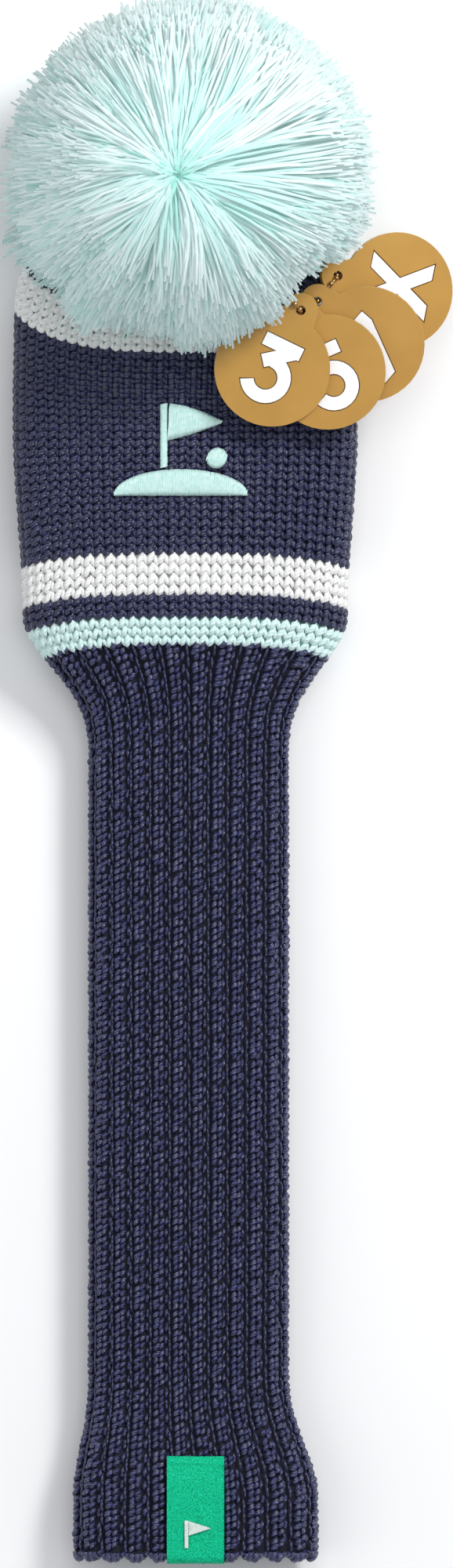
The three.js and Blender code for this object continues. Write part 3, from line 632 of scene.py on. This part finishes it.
def strands(count, polars, heights, lower, seed):
    """Cut yarn from the tie at the middle, rising along the pole and falling away from it, in locks.
    polars is the range of the tips' angles from the pole; heights says how far along the pole they part."""
    random = np.random.default_rng(seed)
    sign = -1.0 if lower else 1.0
    # The locks, and which of them each strand belongs to.
    locks = max(1, count // LOCK_SIZE)
    lock_polar = np.arccos(random.uniform(math.cos(polars[1]), math.cos(polars[0]), locks))
    lock_turn = random.uniform(0, 2 * math.pi, locks)
    lock_polar = lock_polar + (0.0 if lower else 0.2) * np.cos(lock_turn - 0.5)
    lock_sway = random.normal(0, 0.16, locks)
    lock_height = random.uniform(*heights, locks)
    pick = random.integers(0, locks, count)
    # The tips, trimmed to the uneven ball.
    polar = lock_polar[pick] + random.normal(0, 0.075, count)
    turn = lock_turn[pick] + random.normal(0, 0.06, count)
    height = np.clip(lock_height[pick] + random.normal(0, 0.05, count), 0, 1)
    reach = 0.975 + random.normal(0, 0.026, count) + random.normal(0, 0.018, locks)[pick]
    for at, spread, more in UNEVEN:
        off = (turn - at + math.pi) % (2 * math.pi) - math.pi
        reach = reach * (1 + more * np.exp(-(off / spread) ** 2))
    furrow = furrows(turn)
    tip = direction(polar, turn, sign) * POM_RADII * (reach * (1 - 0.03 * furrow))[:, None]
    # The starts, in the bundle that the tie holds, and the ways out of it and in to the tip.
    start_turn = turn + random.normal(0, 0.5, count)
    out = mix(3.4, 1.0, height)
    start = np.stack([out * np.cos(start_turn), out * np.sin(start_turn), sign * mix(1, 25, height)], -1)
    start = start + POLE + random.normal(0, 0.35, start.shape)
    leave = direction(mix(1.1, 0.16, height) + random.normal(0, 0.05, count), turn + lock_sway[pick], sign)
    arrive = direction(np.clip(polar + 0.16 + 0.5 * height, 0, 2.2), turn - 0.6 * lock_sway[pick], sign)
    one = start + leave * mix(14, 27, height)[:, None]
    two = tip - arrive * (16 + 7 * height)[:, None] + random.normal(0, 0.8, tip.shape)
    t = np.linspace(0.0, 1, 8)[None, :, None]
    path = ((1 - t) ** 3 * start[:, None] + 3 * (1 - t) ** 2 * t * one[:, None]
            + 3 * (1 - t) * t ** 2 * two[:, None] + t ** 3 * tip[:, None])
    path += random.normal(0, 0.26, path.shape) * t
    return path + POM_CENTRE, furrow, random, random.normal(0, 0.10, locks)[pick]


# The crown's height along y, with what the strands need above it, and the heights over the tags.
CROWN_Y = [-40, 18, 30, 40, 47, 52, 56, 61]
CROWN_Z = [29.4, 29.4, 29.2, 28.8, 28.6, 28.4, 27.5, 26]
CROWN_HALF_WIDTH, STRAND_GAP = 44.5, 0.9
OVER_TAGS, OVER_TAG_TABS, TABS_FROM = 42.6, 37.5, 44


def floor_under(x, y):
    """The least height a strand may have over the crown, the tags and the surface below."""
    over_crown = (y < CROWN_Y[-1]) & (np.abs(x) < CROWN_HALF_WIDTH)
    side = np.clip((np.abs(x) - 30) / 15, 0, 1)
    top = np.where(over_crown, np.interp(y, CROWN_Y, CROWN_Z) - 6 * side ** 2, STRAND_GAP)
    over_tags = (x > 9) & (y < 45) & (x < 56) | (x >= 30) & (x < 70) & (y < 57)
    return np.where(over_tags, np.where(y < TABS_FROM, OVER_TAGS, OVER_TAG_TABS), top + STRAND_GAP)


def pom_piece(name, path, random, layer_shade, lock_tone, furrow):
    lack = np.maximum(floor_under(path[..., 0], path[..., 1]) - path[..., 2], 0)
    keep = lack.max(1) < MOST_LIFT
    path, lack, lock_tone, furrow = path[keep], lack[keep], lock_tone[keep, None], furrow[keep, None]
    path[..., 2] += np.where(lack > 0, lack + 0.5 * random.uniform(0, 1, lack.shape), 0)
    path[..., 2] = np.maximum(path[..., 2], 0.7)
    away = np.linalg.norm((path - POM_CENTRE) / POM_RADII, axis=-1)
    n, k = away.shape
    # The tone: painted shade, darker inside the ball and in the furrows, and lighter towards the cut tip;
    # each strand and lock also differs at random.
    along = np.arange(k) / (k - 1)
    own = random.normal(0, 0.09, (n, 1)) + lock_tone
    own = own - 0.62 * furrow * np.interp(along, [0, 0.3, 0.7, 1], [0.6, 1, 0.75, 0.1])[None]
    tone = np.interp(along, [0, 0.45, 0.8, 1], [0.42, 0.58, 0.7, 0.88])[None] + own + layer_shade
    tone = np.clip(tone * np.clip(0.4 + 0.75 * away, 0, 1.05), 0, 1.1)
    profile = np.array([0.8, 1, 1, 1, 1, 1, 1.04, 0.9])[None]
    girth = STRAND_RADIUS * (1 + random.normal(0, 0.16, (n, 1))) * profile
    points, faces, uv, tone = tubes(path, unit(path - POM_CENTRE), girth, STRAND_FLATNESS * girth, 4, tone)
    points[:, 2] = np.maximum(points[:, 2], 0.1)
    made = mesh_object(name, points, faces, POM, "pom", uv, tone)
    # Fluffy yarn has no crisp shading of its own: its normals lean towards the ball's.
    normals = np.empty(points.size, np.float32)
    made.data.vertex_normals.foreach_get("vector", normals)
    ball = unit((points - POM_CENTRE) / POM_RADII ** 2)
    ball[:, 2] = np.maximum(ball[:, 2], 0.15)
    leaning = unit(SOFTNESS * unit(ball) + (1 - SOFTNESS) * normals.reshape(-1, 3))
    made.data.normals_split_custom_set_from_vertices(leaning.tolist())
    return made


# Layers from inside out: the strands, the range of their tips' angles, the range of their heights,
# whether they hang below the tie, and their tone: painted shade that makes the inner and lower layers darker.
# The last one fills the waist between the halves.
POM_LAYERS = [
    ("pom_inner_upper", 2400, (0.9, 1.5), (0.0, 0.5), False, -0.10),
    ("pom_mid_upper", 3100, (0.95, 1.5), (0.35, 0.8), False, -0.04),
    ("pom_outer_upper", 3100, (0.85, 1.38), (0.75, 1.0), False, 0.03),
    ("pom_rim", 2700, (1.25, 1.62), (0.1, 0.6), False, 0.0),
    ("pom_rim_lower", 2400, (1.1, 1.6), (0.1, 0.7), True, -0.12),
    ("pom_under", 1500, (0.75, 1.3), (0.4, 0.95), True, -0.08),
    ("pom_waist", 2400, (1.35, 1.8), (0.0, 0.3), False, -0.1),
]
pom_pieces = []
for seed, (name, count, polars, heights, lower, shift) in enumerate(POM_LAYERS, start=40):
    path, furrow, random, lock_tone = strands(count, polars, heights, lower, seed)
    pom_pieces.append(pom_piece(name, path, random, shift, lock_tone, furrow))
    if lower:
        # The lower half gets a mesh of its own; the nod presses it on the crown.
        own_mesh(pom_pieces[-1])

# The heart of the pom-pom, where single strands no longer show.
RINGS, AROUND, HEART_SHARE = 28, 56, 0.56
polar = np.linspace(0.0, math.pi, RINGS)[:, None]
azimuth = np.linspace(0, 2 * math.pi, AROUND, endpoint=False)[None]
lump = 1 + 0.05 * np.sin(9 * azimuth + 3 * np.sin(4 * polar)) + 0.03 * np.sin(17 * azimuth + 2)
dip = 1 - 0.5 * np.exp(-(np.minimum(polar, math.pi - polar) / 0.42) ** 2)
heart = direction(*np.broadcast_arrays(polar, azimuth)) * (HEART_SHARE * lump * dip)[..., None]
heart = (heart * POM_RADII + POM_CENTRE).reshape(-1, 3)
clear = np.maximum(heart[:, 2], floor_under(heart[:, 0], heart[:, 1]) + 1.5)
heart[:, 2] = np.where(heart[:, 1] < CROWN_Y[-1] + 5, clear, heart[:, 2])
faces = grid_faces(RINGS, AROUND)[0]
# The heart takes the lowest tone: painted shade for the dark inside of the ball.
core = mesh_object("pom_heart", heart, faces, POM, "pom", heart[faces][..., :2], np.full(len(heart), 0.02))
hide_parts("pom_yarn")

# ------------------------------------------------------------------ tags
TAG_BEVEL, NUMERAL_BEVEL, NUMERAL_REACH = 0.42, 0.1, 13.0
BEVEL_STEPS, SHARP, WELD = 3, math.radians(50), 0.01


def softened(name, node_name, materials, width, middle, inner_share, body):
    """The node's shape with its sharp edges marked for rounding: fully beyond the numeral's reach of the
    middle, by a share of it within."""
    node_piece = nodes[node_name]
    made = bmesh.new()
    made.from_mesh(node_piece.data)
    made.transform(node_piece.matrix_world)
    bmesh.ops.remove_doubles(made, verts=made.verts, dist=WELD * MM)
    weight = made.edges.layers.float.new("bevel_weight_edge")
    for edge in made.edges:
        if len(edge.link_faces) == 2 and edge.calc_face_angle() > SHARP:
            at = (edge.verts[0].co + edge.verts[1].co) / 2
            away = math.hypot(at.x - middle[0], at.y - middle[1])
            edge[weight] = 1.0 if away > NUMERAL_REACH * MM else inner_share
    for face in made.faces:
        face.smooth = False
    mesh = bpy.data.meshes.new(name)
    made.to_mesh(mesh)
    made.free()
    mesh.materials.clear()
    for material in materials:
        mesh.materials.append(material)
    piece = bpy.data.objects.new(name, mesh)
    scene.collection.objects.link(piece)
    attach(piece, body)
    # The bevel takes the last of the materials.
    bevel = piece.modifiers.new("bevel", "BEVEL")
    bevel.width, bevel.segments = width * MM, BEVEL_STEPS
    bevel.limit_method = "WEIGHT"
    bevel.material = len(materials) - 1
    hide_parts(node_name)


for mark in ("3", "5", "7", "x"):
    low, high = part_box("numeral_" + mark)
    middle = ((low[0] + high[0]) / 2, (low[1] + high[1]) / 2)
    body = f"tag_{mark}_body"
    softened("disc_" + mark, "tag_" + mark, [OCHRE, OCHRE_RIM_HIGHLIGHT], TAG_BEVEL, middle, 0.2, body)
    softened("figure_" + mark, "numeral_" + mark, [PAINT], NUMERAL_BEVEL, middle, 1.0, body)

# ------------------------------------------------------------------ ball chain
BEAD_RADIUS, BEAD_PITCH, PIN_RADIUS = 0.75, 2.2, 0.26
LEAN = math.radians(7)
TAG_THICK, CHAIN_GAP, GAP = 1.8, 1.75, 0.3
# Where the chain goes through each tag's hole.
THREE_Y, FIVE_Y, SEVEN_Y, SEVEN_Z, EX_Z = 37.4, 36.9, 39.9, 34.1, 29.9


def stack_height(y, offset):
    """The height at y of a tag that lies offset above tag 7 in the leaning stack."""
    return SEVEN_Z + (y - SEVEN_Y) * math.tan(LEAN) + offset / math.cos(LEAN)


five_z = stack_height(FIVE_Y, TAG_THICK + CHAIN_GAP)
three_z = stack_height(THREE_Y, 2 * TAG_THICK + CHAIN_GAP + GAP)
between = (THREE_Y + FIVE_Y) / 2
# The same route as the CAD chain's: from the clasp through the tags 3, 5, 7 and X and back.
route = np.array([
    (16.2, 47.4, 37), (19.6, 46.6, 36.6), (23.5, 44.7, 37), (25.8, 42.2, 41.2), (27.8, 39.8, three_z + 2.2),
    (29.5, 38.1, three_z + 1.9), (30.25, between, three_z + 0.4), (30.25, between - 0.15, five_z),
    (31.1, 37.5, five_z - 1.65), (33.6, 39.2, SEVEN_Z + 1.7), (34.65, SEVEN_Y, SEVEN_Z),
    (35.5, 41, SEVEN_Z - 1.75), (37.6, 43.8, SEVEN_Z - 1.75), (39.6, 46, EX_Z + 2.05), (39.9, 46.8, EX_Z),
    (39.2, 48.4, EX_Z - 1.8), (37, 52.2, EX_Z - 0.6), (32.5, 54, EX_Z + 2.6), (26, 54.6, 35.5),
    (19.6, 53.6, 37)])


def centripetal(points, samples):
    """A centripetal Catmull-Rom curve through the points."""
    ends = np.vstack([2 * points[0] - points[1], points, 2 * points[-1] - points[-2]])
    out = []
    for i in range(1, len(ends) - 2):
        p = ends[i - 1:i + 3]
        k = np.concatenate([[0], np.cumsum(np.linalg.norm(np.diff(p, axis=0), axis=1) ** 0.5)])
        t = np.linspace(k[1], k[2], samples, endpoint=False)[:, None]

        def between_knots(low, high, start, end):
            return (k[high] - t) / (k[high] - k[low]) * start + (t - k[low]) / (k[high] - k[low]) * end

        a = [between_knots(j, j + 1, p[j], p[j + 1]) for j in range(3)]
        b = [between_knots(j, j + 2, a[j], a[j + 1]) for j in range(2)]
        out.append(between_knots(1, 2, b[0], b[1]))
    return np.vstack(out + [points[-1:]])


line = centripetal(route, 24)
run = np.concatenate([[0], np.cumsum(np.linalg.norm(np.diff(line, axis=0), axis=1))])
spots = np.linspace(0, run[-1], int(round(run[-1] / BEAD_PITCH)) + 1)
beads = np.stack([np.interp(spots, run, line[:, i]) for i in range(3)], -1)
steps = np.diff(beads, axis=0)
ahead = np.vstack([steps, steps[-1:]])
up = unit(np.cross(ahead, [0.2, 0.1, 1.0]))
t = np.linspace(0, math.pi, 11)
ball = beads[:, None] - unit(ahead)[:, None] * (np.cos(t) * BEAD_RADIUS)[None, :, None]
girth = np.maximum(np.sin(t), 0.04)[None] * BEAD_RADIUS + np.zeros((len(beads), 1))
pins = beads[:-1, None] + steps[:, None] * np.linspace(0, 1, 4)[None, :, None]
points, faces, uv, _ = join([
    tubes(ball, np.broadcast_to(up[:, None], ball.shape), girth, girth, 16),
    tubes(pins, np.broadcast_to(up[:-1, None], pins.shape), PIN_RADIUS, PIN_RADIUS, 8)])
chain = mesh_object("bead_chain", points, faces, BRASS, "chain", uv)
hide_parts("ball_chain")

# The clasp: a little rolled sleeve with a waist and turned ends.
CLASP_PROFILE = np.array([0.55, 0.9, 1, 0.97, 0.9, 0.86, 0.85, 0.86, 0.9, 0.97, 1, 0.9, 0.55])
clasp_low, clasp_high = (np.array(c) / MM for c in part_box("chain_clasp"))
half = (clasp_high - clasp_low) / 2
t = np.linspace(-1, 1, len(CLASP_PROFILE))
path = (clasp_low + half)[None, None] + np.array([0, 1, 0]) * (t * half[1])[None, :, None]
radius = (half[0] * CLASP_PROFILE)[None]
points, faces, uv, _ = tubes(path, np.broadcast_to([0, 0, 1.0], path.shape), radius, radius, 20)
clasp = mesh_object("sleeve_clasp", points, faces, BRASS, "chain", uv)
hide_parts("chain_clasp")

# ------------------------------------------------------------------ carried-over pieces
for name, material in (("pom_tie", TIE), ("pom_binding", TIE), ("tie_button", PLASTIC), ("chain_loop", NAVY)):
    piece = nodes[name]
    piece.data.materials.clear()
    piece.data.materials.append(material)
    piece.modifiers.new("weld", "WELD").merge_threshold = WELD * MM
    if name != "tie_button":
        smoothing = piece.modifiers.new("round", "SUBSURF")
        smoothing.levels = smoothing.render_levels = 1

# The lining: two faces of brushed cloth, rumpled a little.
LINING_LOW, LINING_HIGH, LINING_ROWS, LINING_AROUND = MINT_TOP + 1, BAND_TOP - 1.5, 60, 150
u = np.linspace(LINING_LOW, LINING_HIGH, LINING_ROWS)[:, None]
turn = np.arange(LINING_AROUND)[None] / LINING_AROUND * 2 * math.pi
rumple = KNIT_THICK + 0.18 * np.sin(turn * 9 + u * 0.35) + 0.12 * np.sin(turn * 17 - u * 0.22)
points, faces, uv, _ = join([
    skin_grid(LINING_LOW, LINING_HIGH, rumple + 1.1, LINING_ROWS, LINING_AROUND),
    skin_grid(LINING_HIGH, LINING_LOW, rumple[::-1] + 1.6, LINING_ROWS, LINING_AROUND)])
cloth = mesh_object("lining_cloth", points, faces, LINING, "cover", uv)
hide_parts("head_lining")

# ------------------------------------------------------------------ embroidery
EMBLEM = np.array([-1.9, 0, 29.55])
THREAD_PITCH, THREAD_HALF_WIDTH, THREAD_HALF_DEPTH = 0.34, 0.22, 0.2
GREEN_HALF_WIDTH, GREEN_LOW, GREEN_RISE = 18, -12, 7
POLE_LEFT, POLE_RIGHT = -5.5, -3.7
BALL_X, BALL_Y, BALL_RADIUS = 9.6, -2, 2.7
PENNANT_POINT = (11.4, 7.6)


def satin(rows, name, node_name):
    """rows: (from, to) ends of each thread in the emblem's plane; threads arch over the padding."""
    ends = np.array(rows, float)
    start, finish = ends[:, 0], ends[:, 1]
    t = np.linspace(0, 1, 7)
    path = start[:, None] + (finish - start)[:, None] * t[None, :, None]
    span = np.linalg.norm(finish - start, axis=1)
    arch = np.minimum(0.25 + 0.09 * span, 0.75)[:, None] * (1 - np.abs(2 * t - 1)[None] ** 3.5)
    path = np.concatenate([path, (arch - 0.1)[..., None]], -1) + EMBLEM
    path[..., :2] += rng.normal(0, 0.035, path[..., :2].shape)
    out = np.broadcast_to([0, 0, 1.0], path.shape)
    points, faces, uv, _ = tubes(path, out, THREAD_HALF_WIDTH, THREAD_HALF_DEPTH, 6)
    made = mesh_object(name, points, faces, THREAD, "cover", uv)
    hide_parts(node_name)


def arc(start, middle, end, t):
    return (1 - t) ** 2 * start + 2 * (1 - t) * t * middle + t * t * end


def pennant_edges(x):
    """The lower and upper edges of the pennant at x; both curve to its point."""
    share = np.linspace(0, 1, 60)
    t = float(np.interp(x, arc(-3.4, 3, PENNANT_POINT[0], share), share))
    return arc(2.8, 4, PENNANT_POINT[1], t), arc(12.6, 12, PENNANT_POINT[1], t)


# The green: threads stand on its straight lower edge.
rows = []
for x in np.arange(-17.8, 17.9, THREAD_PITCH):
    rise = GREEN_RISE * math.sqrt(max(0.02, 1 - (x / GREEN_HALF_WIDTH) ** 2))
    rows.append(((x, GREEN_LOW), (x + 0.001, GREEN_LOW + rise)))
satin(rows, "stitch_green", "emblem_green")

rows = [((POLE_LEFT, y - 0.2), (POLE_RIGHT, y + 0.2)) for y in np.arange(-4.3, 12.7, THREAD_PITCH)]
satin(rows, "stitch_pole", "emblem_pole")

rows = []
for x in np.arange(-3.2, 11.0, THREAD_PITCH):
    low, high = pennant_edges(x)
    rows.append(((x - 0.3, low), (x + 0.3, high)))
satin(rows, "stitch_flag", "emblem_flag")

rows = []
for x in np.arange(-2.6, 2.65, THREAD_PITCH):
    half = math.sqrt(max(0.02, BALL_RADIUS ** 2 - x * x))
    rows.append(((BALL_X + x - 0.2, BALL_Y - half), (BALL_X + x + 0.2, BALL_Y + half)))
satin(rows, "stitch_ball", "emblem_ball")

# ------------------------------------------------------------------ woven label
LABEL_WIDTH, LABEL_X, LABEL_TOP, LABEL_INSIDE_TOP = 15.4, 2, -269.6, -282
LABEL_HALF, LABEL_OVERHANG = 0.3, 2.3
# Half the thickness of the ribbon itself, which lies in the thicker space of its CAD solid.
RIBBON_HALF = 0.14
# How far along the ribbon its outside ends, where it turns over the rim.
OUTSIDE_END = 28


def top_height(y, depth):
    return float(skin(y, math.pi / 2, depth)[2])


outside = [(y, top_height(y, -GAP - LABEL_HALF)) for y in np.linspace(LABEL_TOP, HEM_RIM, 24)]
inside = [(y, top_height(y, KNIT_THICK + GAP + LABEL_HALF))
          for y in np.linspace(HEM_RIM, LABEL_INSIDE_TOP, 14)]
high, low = outside[-1][1], inside[0][1]
reach = LABEL_OVERHANG - LABEL_HALF
fold = [(HEM_RIM - reach * math.cos(a), (high + low) / 2 + (high - low) / 2 * math.sin(a))
        for a in np.linspace(math.pi / 2, -math.pi / 2, 14)[1:-1]]
spine = np.array(outside + fold + inside)
run = np.concatenate([[0], np.cumsum(np.linalg.norm(np.diff(spine, axis=0), axis=1))])
label_length = run[-1]
fine = np.linspace(0, label_length, 150)
spine = np.stack([np.interp(fine, run, spine[:, i]) for i in range(2)], -1)
tangent = unit(np.gradient(spine, axis=0))
normal = np.stack([-tangent[:, 1], tangent[:, 0]], -1)
gx, gs = np.meshgrid(np.linspace(-1, 1, 37), fine, indexing="ij")
# The cloth ripples across, is creased where its top edge is sewn, and is bent in at one corner.
crease = np.exp(-((gs - 2.0 - 0.35 * gx) / 0.38) ** 2)
corner = np.exp(-((1 - gx) / 0.16) ** 2 - ((gs - 2.6) / 0.9) ** 2)
ripple = 0.10 * np.sin(gx * 3.1 + 0.6) + 0.05 * np.sin(gs * 0.9 + gx * 2) - 0.30 * crease - 0.45 * corner
ripple = ripple * np.where(gs > OUTSIDE_END, 0.3, 1.0) + 0.12


def label_face(offset):
    shift = ripple + offset
    return np.stack([LABEL_X + gx * LABEL_WIDTH / 2, spine[:, 0] + normal[:, 0] * shift,
                     spine[:, 1] + normal[:, 1] * shift], -1).reshape(-1, 3)


points = np.concatenate([label_face(RIBBON_HALF), label_face(-RIBBON_HALF)])
flat_uv = np.concatenate([np.stack([gx * LABEL_WIDTH / 2, gs], -1).reshape(-1, 2)] * 2)
na, nb = gx.shape
side = na * nb
r, c = np.meshgrid(np.arange(na - 1), np.arange(nb - 1), indexing="ij")
quad = np.stack([r * nb + c, (r + 1) * nb + c, (r + 1) * nb + c + 1, r * nb + c + 1], -1).reshape(-1, 4)
border = [(0, j) for j in range(nb)] + [(i, nb - 1) for i in range(1, na)]
border += [(na - 1, j) for j in range(nb - 2, -1, -1)] + [(i, 0) for i in range(na - 2, 0, -1)]
border = np.array([i * nb + j for i, j in border])
following = np.roll(border, -1)
edge = np.stack([border, following, following + side, border + side], -1)
faces = np.concatenate([quad[:, ::-1], quad + side, edge])
label = mesh_object("label_ribbon", points, faces, GREEN, "neck", flat_uv[faces])
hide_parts("label")

# The mark on it, in raised white threads: a small pennant on its pole.
MARK_Y, MARK_PITCH, MARK_RADIUS, MARK_LIFT = -290.6, 0.16, 0.1, 0.28
threads = [((-2.95, y), (-1.95, y)) for y in np.arange(-3.5, 3.8, MARK_PITCH)]
for y in np.arange(-0.3, 3.7, MARK_PITCH):
    reach = np.interp(y, [-0.4, 1.7, 3.8], [-2.4, 4.2, -2.4])
    if reach > -1.6:
        threads.append(((-1.9, y), (reach, y)))
ends = np.array(threads)
t = np.linspace(0, 1, 5)[None, :, None]
path = ends[:, :1] + (ends[:, 1:] - ends[:, :1]) * t
height = np.array([top_height(MARK_Y + y, 0) for y in path[:, 0, 1]]) + GAP + 2 * LABEL_HALF + MARK_LIFT
height = np.broadcast_to(height[:, None, None], path.shape[:2] + (1,))
path = np.concatenate([path + [LABEL_X, MARK_Y], height], -1)
points, faces, uv, _ = tubes(path, np.broadcast_to([0, 0, 1.0], path.shape), MARK_RADIUS, MARK_RADIUS, 6)
made = mesh_object("label_thread_mark", points, faces, LABEL_WHITE, "neck", uv)
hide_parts("label_mark")

# ------------------------------------------------------------------ floor, light and camera
FLOOR_REACH = 9000
floor_paper = mottled("floor_paper", 3, 2, [(0.3, (0.94, 0.94, 0.94)), (0.7, (0.96, 0.96, 0.96))], 0.9)
corners = np.array([(-1, -1, 0), (1, -1, 0), (1, 1, 0), (-1, 1, 0)], float) * FLOOR_REACH
floor = mesh_object("floor", corners, np.array([[0, 1, 2, 3]]), floor_paper)

world = bpy.data.worlds.new("studio")
world.use_nodes = True
background = world.node_tree.nodes["Background"]
background.inputs["Color"].default_value = (0.93, 0.95, 1.0, 1)
background.inputs["Strength"].default_value = 0.45
scene.world = world


def softbox(name, place, target, size, power):
    data = bpy.data.lights.new(name, "AREA")
    data.shape, data.size, data.size_y, data.energy = "RECTANGLE", size[0], size[1], power
    lamp = bpy.data.objects.new(name, data)
    scene.collection.objects.link(lamp)
    lamp.location = place
    lamp.rotation_mode = "QUATERNION"
    lamp.rotation_quaternion = (Vector(target) - Vector(place)).to_track_quat("-Z", "Y")


softbox("key", (0.75, 0.7, 1.1), (0, -0.05, 0), (0.40, 0.40), 15)
softbox("fill", (-1.0, -0.3, 1.1), (0, -0.1, 0), (1.0, 1.2), 3)
softbox("top", (0.1, 0.2, 1.6), (0, -0.1, 0), (0.8, 0.8), 5)

# The camera looks straight down from far off, and FRAME_HEIGHT is the height of its view at the cover.
FRAME_HEIGHT, COVER_LEVEL = 0.42, 0.03
camera_data = bpy.data.cameras.new("camera")
camera_data.lens, camera_data.sensor_width = 400, 36
camera_data.clip_start, camera_data.clip_end = 0.1, 50
camera = bpy.data.objects.new("camera", camera_data)
scene.collection.objects.link(camera)
distance = FRAME_HEIGHT * camera_data.lens / camera_data.sensor_width
camera.location = (0.0103, -0.0893, COVER_LEVEL + distance)
scene.camera = camera
scene.view_settings.view_transform = "Standard"
